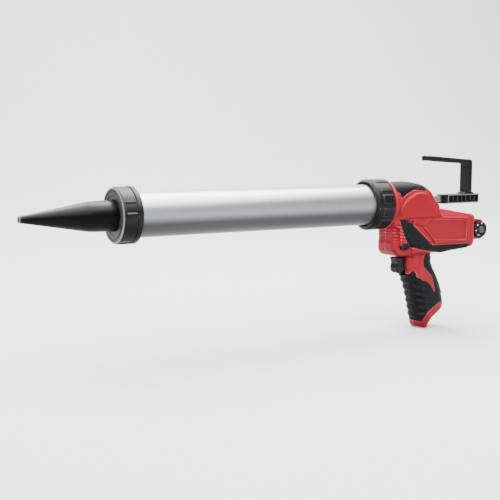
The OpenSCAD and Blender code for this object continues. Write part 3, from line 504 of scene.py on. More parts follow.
def turned_metal(name, colour, gloss):
    """Metal with fine turned lines round the X axis, and painted shade that makes its underside darker and
    less metallic.
    """
    f = Finish(name)
    _, _, z = f.axes()
    # painted shade: towards the bottom the colour fades to dark grey and the metal to less metallic
    top = z.between(-0.012, 0.014)
    rings = f.noise(1.0, 3.0, f.stretched((2600.0, 14.0, 14.0)))
    wide = f.noise(1.0, 2.0, f.stretched((240.0, 6.0, 6.0)))
    lit = f.mix(rings * 0.6 + wide * 0.4, tone(colour, 0.8), tone(colour, 1.12))
    return f.surface(
        Base_Color=f.mix(top, (0.045, 0.045, 0.047), lit), Metallic=top * 0.85 + 0.15, Specular_IOR_Level=0.1,
        Roughness=rings * 0.14 + wide * 0.06 + (gloss - 0.1), Normal=f.bump(rings, 0.00002, 0.5))


def plain_metal(name, colour, gloss):
    """Machined or plated metal with faint scratches and stains."""
    f = Finish(name)
    scratch = f.noise(1.0, 3.0, f.stretched((60.0, 900.0, 900.0)))
    stain = f.noise(60.0, 4.0)
    return f.surface(
        Base_Color=f.mix(stain, tone(colour, 0.82), colour), Metallic=1.0,
        Roughness=scratch * 0.12 + stain * 0.1 + (gloss - 0.1), Normal=f.bump(scratch, 0.00001, 0.5))


# pale grey painted as a highlight along edges of the black parts that stand out
EDGE_HIGHLIGHT_GREY = (0.10, 0.10, 0.105)
METALS = {                          # colour and roughness
    "rod_steel": ((0.30, 0.30, 0.31), 0.3), "gear_steel": ((0.46, 0.46, 0.48), 0.36),
    "dark_steel": ((0.10, 0.10, 0.11), 0.42), "plate_alloy": ((0.58, 0.59, 0.61), 0.4),
    "bush_bronze": ((0.55, 0.36, 0.15), 0.45), "winding_copper": ((0.50, 0.24, 0.11), 0.4),
    "blade_brass": ((0.70, 0.53, 0.22), 0.3),
}
FINISHES = {}


def finish(name):
    """A finish by name, made once."""
    if name in FINISHES:
        return FINISHES[name]
    if name in METALS:
        FINISHES[name] = plain_metal(name, *METALS[name])
        return FINISHES[name]
    housing, barrel, controls = settings()
    # Each edge colour given to a moulded finish is painted on as a highlight, and each moulded finish is
    # darkened on its underside as painted shade.
    makers = {
        "red_shell": lambda: moulded(name, tuple(housing.shell_colour), housing.shell_gloss, coat=0.45,
                                     underside_shade=0.4, edge_highlight=(0.62, 0.09, 0.11)),
        "pad_rubber": lambda: soft_rubber(name, tuple(housing.pad_colour)),
        "nozzle_black": lambda: nozzle_black(name, tuple(barrel.nozzle_colour)),
        "cap_black": lambda: moulded(name, tuple(barrel.ring_colour), 0.4, 700.0, coat=0.7, edge_highlight=EDGE_HIGHLIGHT_GREY),
        "front_cap_black": lambda: front_cap_black(name, tuple(barrel.ring_colour)),
        "tube_metal": lambda: turned_metal(name, tuple(barrel.tube_colour), barrel.tube_gloss),
        "handle_black": lambda: moulded(name, tuple(controls.handle_colour), 0.36, 700.0, coat=0.6,
                                        edge_highlight=EDGE_HIGHLIGHT_GREY),
        "block_black": lambda: block_black(name, tuple(controls.handle_colour)),
        "control_black": lambda: moulded(name, tuple(controls.control_colour), 0.34, 800.0, coat=0.7,
                                         edge_highlight=(0.08, 0.08, 0.085)),
        "hub_grey": lambda: moulded(name, (0.055, 0.056, 0.06), 0.3, 800.0, shine=0.4),
        "mark_white": lambda: moulded(name, (0.72, 0.72, 0.70), 0.45, 800.0, mottle=0.03),
        "gear_acetal": lambda: moulded(name, (0.72, 0.70, 0.64), 0.4, 600.0, mottle=0.04),
        "board_green": lambda: moulded(name, (0.03, 0.20, 0.08), 0.35, 400.0),
    }
    FINISHES[name] = makers[name]()
    return FINISHES[name]


SLOT_FINISHES = {
    "nozzle": "nozzle_black", "cap": "cap_black", "tube": "tube_metal", "shell": "red_shell",
    "pad": "pad_rubber", "rod": "rod_steel", "handle": "handle_black", "control": "control_black",
    "piston": "cap_black",
    "steel": "gear_steel", "dark_steel": "dark_steel", "alloy": "plate_alloy", "bronze": "bush_bronze",
    "gear_plastic": "gear_acetal", "motor_steel": "gear_steel", "copper": "winding_copper",
    "board": "board_green", "contact": "blade_brass",
}


# ---------------------------------------------------------------- housing forms
# Side outlines are (place behind the housing's front face, height above the barrel's axis, corner radius).
GEARBOX_SIDE = [(4, -26, 4), (16, -34, 4), (16, -57, 3), (88, -57, 6), (84, -2, 8), (75, 5, 5), (70, 14.5, 5),
                (60, 24.5, 18), (42, 30.2, 40), (4, 30.2, 3)]
TAIL_SIDE = [(38, -70, 4), (92, -69, 8), (105, -66.3, 10), (146, -63, 6), (153, -56, 6), (153.5, -21.5, 4),
             (148, -18.2, 4), (90, -7.8, 8), (74, 5, 10), (60, 5), (38, -25)]
CHIN_SIDE = [(46, -76), (46, -30), (8, -30), (7, -38, 3), (9, -48, 6), (7, -54, 4), (7.5, -62, 5),
             (15, -70.5, 6), (24, -73, 8), (40, -73.2)]
NOSE_SIDE = [(140, -54.5), (172, -54.5, 4), (174.5, -27, 4), (160, -25.5), (140, -24)]
GRIP_FRONT = [(-180, 61), (-171, 60), (-163, 58.4), (-150, 55.6), (-137, 52.4), (-125, 49.2), (-113, 45.4),
              (-104, 41), (-98, 38.2), (-94, 39), (-90, 43), (-84, 45), (-60, 45)]
GRIP_REAR = [(-180, 110), (-144, 106.4), (-138, 105.4), (-126, 102.4), (-114, 98), (-104, 93), (-98, 89.6),
             (-90, 85), (-82, 81.5), (-73, 82), (-60, 84)]
GRIP_FOOT = [(20, -50), (20, -171), (58, -171, 1), (69.5, -174.8, 2), (73, -167.5, 6), (79, -160.5, 9),
             (96, -149, 8), (104, -142, 2), (125, -136), (125, -50)]
TOP_PAD = [(1, 40), (1, 27.5), (16.9, 8), (27, 14.6, 14), (40, 19.4, 20), (59, 17, 2), (62, 24, 1), (62, 40)]
STRIPE_PAD = [(13.5, -20), (38.4, -22.4, 1), (37.4, -28.7, 2), (66.2, -52.5, 6), (73, -58, 3),
              (139.5, -58.8, 2), (143, -80), (88, -80), (88, -69, 2), (52.3, -63, 4), (30, -57.3, 2),
              (21.6, -40.6, 4)]
GRIP_PAD = [(30, -98), (39, -97, 1), (42.5, -92.6, 1), (46.7, -93, 1), (51, -101.7, 3), (61.7, -106.6, 3),
            (69, -108.6, 4), (76.3, -114.8, 6), (85, -129, 1), (81, -114.2, 12), (77.2, -101.7, 6),
            (68.5, -93.6, 4), (61.7, -87.6, 3), (61, -78.3, 2), (63.2, -71.9), (64, -69), (100, -69),
            (122, -110), (122, -138), (104, -139.5, 3), (92, -139.5, 4), (80, -146.5, 6), (71, -152, 8),
            (66.7, -159, 8),
            (64, -166.2, 2), (53.7, -163, 2), (38.3, -161, 2), (30, -160)]
COVER_WEDGE = [(40, -21), (92.5, -20, 2), (82, -8.5, 6), (69, 4.5, 6), (60, 16, 6), (40, 14)]
TRIGGER_SKIRT = [(50, -70), (37, -70), (36.6, -90, 8), (39.5, -99), (50, -101)]
PANEL_FRAME = [(22, -21.5, 1), (94.7, -19.3, 3), (135.3, -21.6, 3), (138, -25.8, 3), (137.6, -52.2, 3),
               (134, -54.6, 2), (76.5, -55.5, 3), (52, -30.5, 3)]
SIDE_PANEL = [(54.6, -30.4, 2), (63.8, -22.8, 2), (129, -25.5, 3), (132.2, -29.5, 3), (131.5, -52.5, 2),
              (76.4, -49, 2)]
REAR_STRIP = [(66, -78, 2), (84, -72, 2), (95, -72), (125, -120), (118, -131, 2), (98, -128, 4),
              (92, -112, 10), (82, -98, 6), (72, -90, 4), (65, -84, 3)]
STRIPE_BAR = [(17, -23, 1), (26, -23, 1), (58, -58, 3), (84, -63.5, 3), (138, -62, 2), (138, -90), (90, -90),
              (89, -72.5, 3), (56, -62.5, 3), (35, -54, 4), (25, -41, 6)]
TOP_PAD_REAR = [(40, 60), (40, 26, 2), (44, 21.5, 2), (58, 19.5, 2), (80, 19), (80, 60)]
GEARBOX_HALF, CHIN_HALF, GRIP_HALF, NOSE_HALF = 24.0, 20.0, 18.0, 18.0
WALL, PAD = 2.6, 1.3
LIP_R, LIP_LEN = 34.1, 4.6
PINION_U, PINION_Z, COVER_R = 44.0, -15.5, 30.0


def end_outline(half, low, high, bottom, top):
    return outline([(half, low, bottom), (half, high, top), (-half, high, top), (-half, low, bottom)], 8)


def plan_outline(front, rear, half, front_r, rear_r):
    return outline([(front, -half, front_r), (rear, -half, rear_r), (rear, half, rear_r),
                    (front, half, front_r)], 8)


LINES = {
    "gearbox": outline(GEARBOX_SIDE), "gearbox_end": end_outline(GEARBOX_HALF, -60, 30.2, 10, 19),
    "tail": outline(TAIL_SIDE), "tail_end": end_outline(GEARBOX_HALF, -71, 12, 8, 10),
    "tail_plan": plan_outline(20, 153.5, GEARBOX_HALF, 0, 11),
    "chin": outline(CHIN_SIDE), "chin_end": end_outline(CHIN_HALF, -73.2, -20, 7, 4),
    "chin_plan": plan_outline(7, 70, CHIN_HALF, 9, 0),
    "nose": outline(NOSE_SIDE), "nose_plan": plan_outline(140, 174.5, 19, 0, 13),
    "foot": outline(GRIP_FOOT), "top_pad": outline(TOP_PAD), "stripe_pad": outline(STRIPE_PAD),
    "grip_pad": outline(GRIP_PAD), "skirt": outline(TRIGGER_SKIRT), "wedge": outline(COVER_WEDGE),
    "frame": outline(PANEL_FRAME), "panel": outline(SIDE_PANEL), "rear_strip": outline(REAR_STRIP),
    "stripe_bar": outline(STRIPE_BAR), "top_pad_rear": outline(TOP_PAD_REAR),
}


def grip_section(u, y, z):
    """The grip without its foot: a long oval at each height."""
    levels, front = zip(*GRIP_FRONT)
    front = np.interp(z, levels, front)
    levels, rear = zip(*GRIP_REAR)
    rear = np.interp(z, levels, rear)
    round_r = 16.0
    across = np.abs(u - (front + rear) / 2) - ((rear - front) / 2 - round_r)
    side = np.abs(y) - (GRIP_HALF - round_r)
    beyond = np.hypot(np.maximum(across, 0), np.maximum(side, 0))
    return np.minimum(np.maximum(across, side), 0) + beyond - round_r


def grip_form(u, y, z):
    oval = np.maximum(grip_section(u, y, z), slab(z, -184, -68))
    return overlap(oval, from_outline(LINES["foot"], u, z), 2.0)


def gearbox_form(u, y, z):
    return overlap(from_outline(LINES["gearbox"], u, z), from_outline(LINES["gearbox_end"], y, z), 2.5)


def tail_form(u, y, z):
    """The tail, with a slope along its top edges."""
    form = overlap(from_outline(LINES["tail"], u, z), from_outline(LINES["tail_end"], y, z), 3.0)
    ledge = np.interp(u, [60, 92, 140], [-19.5, -20.0, -22.0])
    slope = (np.abs(y) - GEARBOX_HALF) * 0.72 + (z - ledge) * 0.69
    form = overlap(form, slope, 1.2)
    return overlap(form, from_outline(LINES["tail_plan"], u, y), 3.0)


def chin_form(u, y, z):
    form = overlap(from_outline(LINES["chin"], u, z), from_outline(LINES["chin_end"], y, z), 4.0)
    return overlap(form, from_outline(LINES["chin_plan"], u, y), 3.0)


def nose_form(u, y, z):
    form = overlap(from_outline(LINES["nose"], u, z), slab(y, -NOSE_HALF, NOSE_HALF), 2.5)
    return overlap(form, from_outline(LINES["nose_plan"], u, y), 2.0)


def cover_form(u, y, z):
    """The round gear cover and the wedge behind it, with a bevelled rim."""
    disc = np.hypot(u - PINION_U, z - PINION_Z) - COVER_R
    flat = np.maximum(join(disc, from_outline(LINES["wedge"], u, z), 4.0), -21.0 - z)
    side = np.abs(y) - (GEARBOX_HALF + 1.9)
    bevel = (flat + side) * 0.7071 + 1.9
    return overlap(overlap(flat, side, 0.6), bevel, 0.8)


def skirt_form(u, y, z):
    """The front of the grip that covers the trigger's rear part."""
    round_r = 8.0
    across = np.maximum(np.abs(y) - (GRIP_HALF - 1.5 - round_r), 0)
    ahead = np.maximum(36.8 + round_r - u, 0)
    rounded = np.hypot(across, ahead) - round_r
    return overlap(from_outline(LINES["skirt"], u, z), np.maximum(rounded, np.abs(y) - GRIP_HALF + 1.5), 1.2)


def frame_form(u, y, z):
    """The raised surround of the side panel."""
    return overlap(from_outline(LINES["frame"], u, z), np.abs(y) - (GEARBOX_HALF + 1.1), 1.2)


def lip_form(u, y, z):
    """The front lip and the neck behind it."""
    r = np.hypot(y, z)
    lip = overlap(r - LIP_R, slab(u, 0, LIP_LEN), 1.6)
    return join(lip, overlap(r - GEARBOX_HALF - 4, slab(u, 0, LIP_LEN + 10), 1.0), 2.0)


class Housing:
    """The housing's forms at some places, each worked out once."""

    def __init__(self, u, y, z):
        self.place = u, y, z
        self.gearbox, self.tail = gearbox_form(u, y, z), tail_form(u, y, z)
        self.chin, self.grip = chin_form(u, y, z), grip_form(u, y, z)
        self.nose = nose_form(u, y, z)
        self.cover, self.frame, self.lip = cover_form(u, y, z), frame_form(u, y, z), lip_form(u, y, z)
        box = np.minimum(self.gearbox, self.tail)
        self.plain = np.minimum(np.minimum(box, self.chin), np.minimum(self.grip, self.nose))
        self.upper = join(box, self.chin, 1.5)
        held = join(self.grip, skirt_form(u, y, z), 5.0)
        self.core = join(join(self.upper, held, 4.0), self.nose, 1.0)

    def area(self, name):
        return from_outline(LINES[name], self.place[0], self.place[2])

    def pocket(self, name):
        """The room for a pad, from its floor outwards."""
        room = np.maximum(self.area(name), -(self.plain + PAD))
        if name == "top_pad":
            return np.maximum(room, -self.lip)
        if name == "grip_pad":
            return np.maximum(room, -np.minimum(self.tail, self.chin))
        return np.maximum(room, -self.grip)


def finger_ridges(u, z):
    """Six finger ridges down the front of the grip, with shallow grooves that run back from them."""
    levels, front = zip(*GRIP_FRONT)
    back = u - np.interp(z, levels, front)
    wave = 0.5 + 0.5 * np.cos((z + 108.5) * 2 * math.pi / 9.6)
    here = rise(z, -164, -158) * rise(-z, 96, 104)
    groove = (1 - wave) ** 4 * rise(-back, -30, -21) * 0.38
    return here * (wave * 1.15 * rise(-back, -17, -6) - groove)


def chin_ribs(u, z):
    """Grooves round the front of the chin."""
    wave = (0.5 - 0.5 * np.cos((z + 24.5 + 0.12 * u) * 2 * math.pi / 4.3)) ** 1.5
    return wave * rise(-u, -36, -31) * rise(z, -51, -48) * rise(-z, 24, 28) * 1.0


def trigger_gap(u, y, z):
    """The slot that the trigger slides into."""
    low, high = places("trigger")
    return box_form(u, y, z, (low[0] - LIP_X - 8, 56.3), (low[1] - 0.35, high[1] + 0.35), (-99.5, -73), 1.5)


def lock_gap(u, z, grow):
    """The recess round the lock button, seen from the side."""
    low, high = places("lock_button")
    area = overlap(slab(u, low[0] - LIP_X, high[0] - LIP_X), slab(z, low[2], high[2]), 3.6)
    return area - grow


def shell_form(side):
    """One half of the housing, with its wall, recesses and holes."""
    dial_low, dial_high = places("speed_dial")
    dial_u, dial_z = (dial_low[0] + dial_high[0]) / 2 - LIP_X, (dial_low[2] + dial_high[2]) / 2
    dial_r = (dial_high[2] - dial_low[2]) / 2 + 0.7

    def form(u, y, z):
        h = Housing(u, y, z)
        r = np.hypot(y, z)
        outside = join(join(h.core, h.frame, 0.8), h.cover, 0.8)
        outside = outside + chin_ribs(u, z)
        outside = join(outside, h.lip, 1.5)
        outside = cut(outside, overlap(h.area("panel"), GEARBOX_HALF - 0.7 - np.abs(y), 0.3), 0.5)
        for name in ("top_pad", "stripe_pad", "grip_pad"):
            outside = cut(outside, h.pocket(name), 0.3)
        form = np.maximum(outside, -(h.plain + WALL))
        form = cut(form, np.maximum(r - 31.0, slab(u, -5, 4.4)), 0.4)
        form = cut(form, np.maximum(lock_gap(u, z, 0.5), 15 - np.abs(y)), 0.8)
        form = cut(form, trigger_gap(u, y, z), 1.0)
        form = cut(form, box_form(u, y, z, (20, 110), (-4.5, 4.5), (-3.6, 8.5), 0.5), 0.5)
        dial = np.hypot(u - dial_u, z - dial_z)
        form = cut(form, np.maximum(dial - dial_r, y + 10.4), 0.8)
        form = cut(form, np.maximum(dial - 8.5, slab(y, -14, 0.2)))
        form = cut(form, np.maximum(grip_section(u, y, z) + WALL, z + 110), 0.6)
        return np.maximum(form, 0.04 - side * y)
    return form


def pad_form(name):
    """A soft pad that fills its pocket, with rounded edges and raised places."""
    def form(u, y, z):
        h = Housing(u, y, z)
        area = h.area(name)
        if name == "grip_pad":
            top = h.grip - finger_ridges(u, z) - 0.75 * ramp(h.area("rear_strip"), 1.2)
        elif name == "stripe_pad":
            wave = (0.5 - 0.5 * np.cos((u * 0.64 - z * 0.77) * 2 * math.pi / 4.2)) ** 2
            ribs = wave * rise(-z, 47, 50) * rise(-u, -64, -58) * rise(-z, -66, -62)
            top = h.upper - 1.2 * ramp(h.area("stripe_bar"), 1.3) + 0.4 * ribs
        else:
            top = h.upper - 0.45 * ramp(area + 2.6, 1.6) + 0.55 * ramp(h.area("top_pad_rear"), 1.5)
        pad = overlap(top, area + 0.18, 0.7)
        pad = np.maximum(pad, -(h.plain + PAD - 0.05))
        if name == "grip_pad":
            pad = overlap(pad, 0.2 - np.minimum(h.tail, h.chin), 0.4)
            pad = cut(pad, trigger_gap(u, y, z) - 0.2, 0.4)
        if name == "stripe_pad":
            for other in (h.grip, h.cover, h.frame):
                pad = overlap(pad, 0.2 - other, 0.4)
            pad = cut(pad, lock_gap(u, z, 0.7), 0.5)
        if name == "top_pad":
            for other in (h.lip, h.cover):
                pad = overlap(pad, 0.25 - other, 0.4)
        return pad
    return form


def in_housing(form):
    """The same form, with the place along the barrel counted from the nozzle's outlet."""
    return lambda x, y, z: form(x - LIP_X, y, z)


# ---------------------------------------------------------------- handle and controls
def block_form():
    """The solid block at the rod's rear end: a pocketed side with upright ribs, and a collar for the hook."""
    low, high = places("handle_block")
    _, hook_high = places("hook_handle")
    rod_low, rod_high = places("rack_rod")
    half, top = high[1], 10.0
    upright = (hook_high[0] - 9.5, hook_high[0])
    ribs, first, last = 7, low[0] + 9.5, high[0] - 2.6
    pitch = (last - first + 1.7) / ribs

    def form(x, y, z):
        body = box_form(x, y, z, (low[0], high[0]), (-half, half), (low[2], top), 1.3)
        foot = box_form(x, y, z, (upright[0] - 4, upright[1] + 4), (-half + 0.5, half - 0.5),
                        (8, high[2]), 1.2)
        body = join(body, foot, 0.6)
        cell = np.mod(x - first, pitch)
        across = overlap(slab(cell, 0, pitch - 1.7), slab(x, first, last), 0)
        pocket = overlap(overlap(across, slab(z, -1.0, 7.9), 0.7), half - 3.0 - np.abs(y), 0.3)
        body = cut(body, pocket, 0.5)
        line = np.abs(np.abs(y) - half) - 0.35
        round_row = overlap(slab(x, first - 2.2, last + 1.1), slab(z, -2.2, 9.1), 1.0)
        edge = np.maximum(line, np.abs(round_row) - 0.45)
        body = np.minimum(body, np.maximum(edge, np.abs(y) - half))
        slot = box_form(x, y, z, (low[0] - 3, rod_high[0] + 0.1), (rod_low[1] - 0.1, rod_high[1] + 0.1),
                        (-0.9, rod_high[2] + 0.1), 0)
        body = cut(body, slot, 0.3)
        hole = box_form(x, y, z, upright, (-6, 6), (-0.2, 20), 0)
        return np.maximum(body, -hole)
    return form, low, high


def hook_form():
    """The hook: an upright and an arm that reaches forwards and rises a little."""
    low, high = places("hook_handle")
    x0, x1, tip, top = high[0] - 9.5, high[0], low[0], high[2]
    drop, arm = 5.0, 7.0
    side = outline([
        (x0, 12.3), (x1, 12.3), (x1, top - drop - 1, 5), (x0 - 10, top - drop, 40), (x0 - 40, top - 2.4, 60),
        (tip, top, 1.5), (tip, top - arm, 1.5), (x0 - 40, top - 2.4 - arm, 60), (x0, top - drop - arm, 2)], 8)

    def form(x, y, z):
        flat = from_outline(side, x, z)
        hook = overlap(flat, slab(y, low[1], high[1]), 1.1)
        inset = overlap(flat + 2.0, high[1] - 0.55 - np.abs(y), 0.2)
        hook = cut(hook, inset, 0.4)
        tenon = box_form(x, y, z, (x0 + 0.1, x1 - 0.1), (-5.9, 5.9), (0.1, 13.5), 0.4)
        return np.minimum(hook, tenon)
    return form, low, high


def trigger_form():
    """The trigger: a hollow front for the finger, scooped flanks and a stem to the switch."""
    low, high = places("trigger")
    start = low[0] - 19.5 + 0.4
    half = high[1]
    side = outline([(p[0] + start, *p[1:]) for p in (
        (50, -73.4), (19.5, -73.4, 1.5), (23.4, -80, 9), (21, -89.5, 6), (24, -95.3, 4), (30, -97, 3),
        (38, -91, 5), (50, -90))])
    plan = plan_outline(start + 15, start + 60, half, 7, 0)

    def form(x, y, z):
        body = overlap(from_outline(side, x, z), from_outline(plan, x, y), 1.8)
        hollow = np.hypot(x - start - 31.5, (z + 84.5) / 1.9) - 3.9
        body = cut(body, overlap(hollow, half - 0.7 - np.abs(y), 0.3), 0.8)
        stem = np.maximum(np.hypot(y, z + 83) - 2.25, slab(x, start + 48, high[0]))
        return np.minimum(body, stem)
    return form, low, high


def lock_form():
    """The lock button's two dished ends and the stem between them."""
    low, high = places("lock_button")
    half = high[1]

    def form(x, y, z):
        area = overlap(slab(x, low[0], high[0]), slab(z, low[2], high[2]), 3.4)
        dish = 0.9 * np.clip(-area / 3.0, 0, 1) ** 2
        cap = overlap(area, np.abs(y) - half + dish, 0.9)
        cap = np.maximum(cap, half - 6.6 - np.abs(y))
        centre = ((low[0] + high[0]) / 2, (low[2] + high[2]) / 2)
        stem = np.maximum(np.hypot(x - centre[0], z - centre[1]) - 2.5, np.abs(y) - half + 3)
        return np.minimum(cap, stem)
    return form, low, high


def dial_form():
    """The speed dial: a notched rim, a dished face with a hole for the hub, and a stem."""
    low, high = places("speed_dial")
    cx, cz = (low[0] + high[0]) / 2, (low[2] + high[2]) / 2
    rim, face, back = (high[2] - low[2]) / 2, low[1] + 2.2, -11.0
    notch = 2 * math.pi / 18

    def form(x, y, z):
        r, angle = np.hypot(x - cx, z - cz), np.arctan2(z - cz, x - cx)
        disc = overlap(r - rim, slab(y, face, back), 1.2)
        turn = np.mod(angle + notch / 2, notch) - notch / 2
        tooth = np.hypot(r * np.cos(turn) - rim - 0.5, r * np.sin(turn)) - 1.25
        disc = cut(disc, tooth, 0.4)
        dish = overlap(r - 6.4, y - face - 0.8, 0.3)
        disc = cut(disc, dish, 0.4)
        disc = cut(disc, overlap(r - HUB_R - 0.1, y - face - 2.4), 0.2)
        stem = np.maximum(r - 2.5, slab(y, back - 1, -4))
        return np.minimum(disc, stem)
    return form, low, high, (cx, cz, face)


def hub_form(cx, cz, front, face):
    """The dial's grey hub, dished in the middle."""
    def form(x, y, z):
        r = np.hypot(x - cx, z - cz)
        hub = overlap(r - HUB_R, slab(y, front, face + 2.3), 0.8)
        return cut(hub, overlap(r - 2.7, y - front - 0.9, 0.3), 0.5)
    return form


HUB_R = 4.7
MARK_ANGLES = (80, 134, 188, 242)
MARK_PLACE, MARK_R = 8.7, 1.15


def marks_form(cx, cz, face):
    """The round marks set into the dial's face."""
    def form(x, y, z):
        dots = [np.hypot(x - cx - MARK_PLACE * math.cos(math.radians(a)),
                         z - cz - MARK_PLACE * math.sin(math.radians(a))) - MARK_R for a in MARK_ANGLES]
        nearest = dots[0]
        for d in dots[1:]:
            nearest = np.minimum(nearest, d)
        return overlap(nearest, slab(y, face - 0.22, face + 0.6), 0.2)
    return form


# ---------------------------------------------------------------- barrel group
def cap_relief(start, end, outer):
    """Four broad raised panels round the cap, with a sunken notch between each two."""
    def relief(place, radius, angle):
        turn = np.mod(angle - math.radians(161 - 45), math.radians(90)) - math.radians(45)
        on = (radius > outer - 4).astype(float)
        notch = ramp(np.maximum(np.abs(turn) * outer - 6.6, slab(place, start + 4.2, end - 5)), 0.8)
        beside = np.abs(np.abs(turn) * outer - 7.4) - 0.5
        seam = ramp(np.maximum(beside, slab(place, start + 3.2, end - 7.6)), 0.4)
        return -on * (1.5 * notch - 0.35 * seam) * (place < end - 8.0) * (place > start + 2.6)
    return relief


def collar_relief(start, end, outer, lugs):
    """Lugs round the collar's rear part."""
    def relief(place, radius, angle):
        step = 2 * math.pi / lugs
        turn = np.mod(angle, step) - step / 2
        on = (radius > outer - 2.2).astype(float)
        lug = ramp(np.maximum(np.abs(turn) * outer - 6.6, slab(place, start + 9, end - 1.4)), 0.7)
        seat = (place > start + 7.9) & (place < end - 0.9)
        return on * seat * 1.25 * lug
    return relief


# ---------------------------------------------------------------- sizes and colours
class HousingSettings(bpy.types.PropertyGroup):
    shell_colour: bpy.props.FloatVectorProperty(
        name="Shell colour", description="Colour of the moulded housing", subtype="COLOR",
        default=(0.36, 0.0045, 0.0175), min=0, max=1)
    shell_gloss: bpy.props.FloatProperty(
        name="Shell roughness", description="Roughness of the housing's surface", default=0.36, min=0.1,
        max=0.9)
    pad_colour: bpy.props.FloatVectorProperty(
        name="Pad colour", description="Colour of the soft pads", subtype="COLOR",
        default=(0.0045, 0.0048, 0.0056), min=0, max=1)
    cell: bpy.props.FloatProperty(
        name="Shell cell", description="Spacing of the shell's mesh, in millimetres", default=0.8, min=0.5,
        max=3)
    pad_cell: bpy.props.FloatProperty(
        name="Pad cell", description="Spacing of the pads' mesh, in millimetres", default=0.62, min=0.4,
        max=3)


class BarrelSettings(bpy.types.PropertyGroup):
    tube_colour: bpy.props.FloatVectorProperty(
        name="Tube colour", description="Colour of the bare tube", subtype="COLOR",
        default=(0.66, 0.67, 0.69), min=0, max=1)
    tube_gloss: bpy.props.FloatProperty(
        name="Tube roughness", description="Roughness of the tube", default=0.36, min=0.1, max=0.9)
    nozzle_colour: bpy.props.FloatVectorProperty(
        name="Nozzle colour", description="Colour of the nozzle", subtype="COLOR",
        default=(0.0022, 0.0024, 0.0028), min=0, max=1)
    ring_colour: bpy.props.FloatVectorProperty(
        name="Cap and collar colour", description="Colour of the front cap and the collar", subtype="COLOR",
        default=(0.0036, 0.0038, 0.0043), min=0, max=1)
    lugs: bpy.props.IntProperty(
        name="Collar lugs", description="Lugs round the collar", default=12, min=6, max=24)


class ControlSettings(bpy.types.PropertyGroup):
    handle_colour: bpy.props.FloatVectorProperty(
        name="Handle colour", description="Colour of the handle's block and hook", subtype="COLOR",
        default=(0.0036, 0.0038, 0.0043), min=0, max=1)
    control_colour: bpy.props.FloatVectorProperty(
        name="Control colour", description="Colour of the trigger, lock button and dial", subtype="COLOR",
        default=(0.0028, 0.003, 0.0034), min=0, max=1)
    cell: bpy.props.FloatProperty(
        name="Cell", description="Spacing of these pieces' meshes, in millimetres", default=0.42, min=0.25,
        max=2)


class StageSettings(bpy.types.PropertyGroup):
    floor_colour: bpy.props.FloatVectorProperty(
        name="Floor colour", description="Colour of the floor and backdrop", subtype="COLOR",
        default=(0.86, 0.86, 0.86), min=0, max=1)
    light: bpy.props.FloatProperty(
        name="Light", description="Strength of all the lamps", default=1.0, min=0, max=10)
    world: bpy.props.FloatProperty(
        name="Surround", description="Strength of the even surrounding light", default=0.22, min=0, max=10)
    lens: bpy.props.FloatProperty(
        name="Lens", description="Focal length of the camera", default=70.3, min=10, max=300, unit="CAMERA")


def settings():
    scene = bpy.context.scene
    return scene.gun_housing, scene.gun_barrel, scene.gun_controls


# ---------------------------------------------------------------- operators
class GUN_OT_shells(bpy.types.Operator):
    """Build the two halves of the housing"""
    bl_idname = "gun.shells"
    bl_label = "Housing shells"

    def execute(self, context):
        cell = context.scene.gun_housing.cell
        margin, past = 1.3, 0.8                        # beyond the shell, and past its parting plane
        reach = LIP_R + margin
        for name, side, across in (("left", -1, (-reach, past)), ("right", 1, (-past, reach))):
            low, high = places(f"{name}_shell")
            low = [low[0] - margin, across[0], low[2] - margin]
            high = [high[0] + margin, across[1], high[2] + margin]
            skinned(f"{name}_housing", in_housing(shell_form(side)), low, high, cell, body="housing",
                    slot="shell", finish=finish("red_shell"), nodes=(f"{name}_shell",))
        return {"FINISHED"}


class GUN_OT_pads(bpy.types.Operator):
    """Build the soft pads on the housing"""
    bl_idname = "gun.pads"
    bl_label = "Soft pads"

    def execute(self, context):
        for name in ("top_pad", "stripe_pad", "grip_pad"):
            nodes = (f"left_{name}", f"right_{name}")
            low, high = places(nodes[0])
            low = [low[0] - 2, low[1] - 2.5, low[2] - 2]
            high = [high[0] + 2, -low[1], high[2] + 2]
            skinned(f"soft_{name}", in_housing(pad_form(name)), low, high, context.scene.gun_housing.pad_cell,
                    body="housing", slot="pad", finish=finish("pad_rubber"), nodes=nodes)
        return {"FINISHED"}


class GUN_OT_nozzle(bpy.types.Operator):
    """Build the tapered nozzle"""
    bl_idname = "gun.nozzle"
    bl_label = "Nozzle"

    def execute(self, context):
        _, high = places("nozzle")
        base = 18.3
        seat = high[0] - 3.8
        profile = [
            (0, 3.0, 0.3), (0, 4.0, 0.5), (2.6, 4.35, 0.6), (3.2, 4.2, 0.4), (80, 17.3, 12), (88, 17.8, 6),
            (seat, base, 0.4), (seat, high[2], 0.3), (high[0], high[2], 0.3), (high[0], base - 1.6, 0.3),
            (81.8, base - 2.3, 6), (8, 3.0, 1)]
        turned("tapered_nozzle", profile, (0, 0, 0), 0, body="nozzle", slot="nozzle",
               finish=finish("nozzle_black"), nodes=("nozzle",))
        return {"FINISHED"}


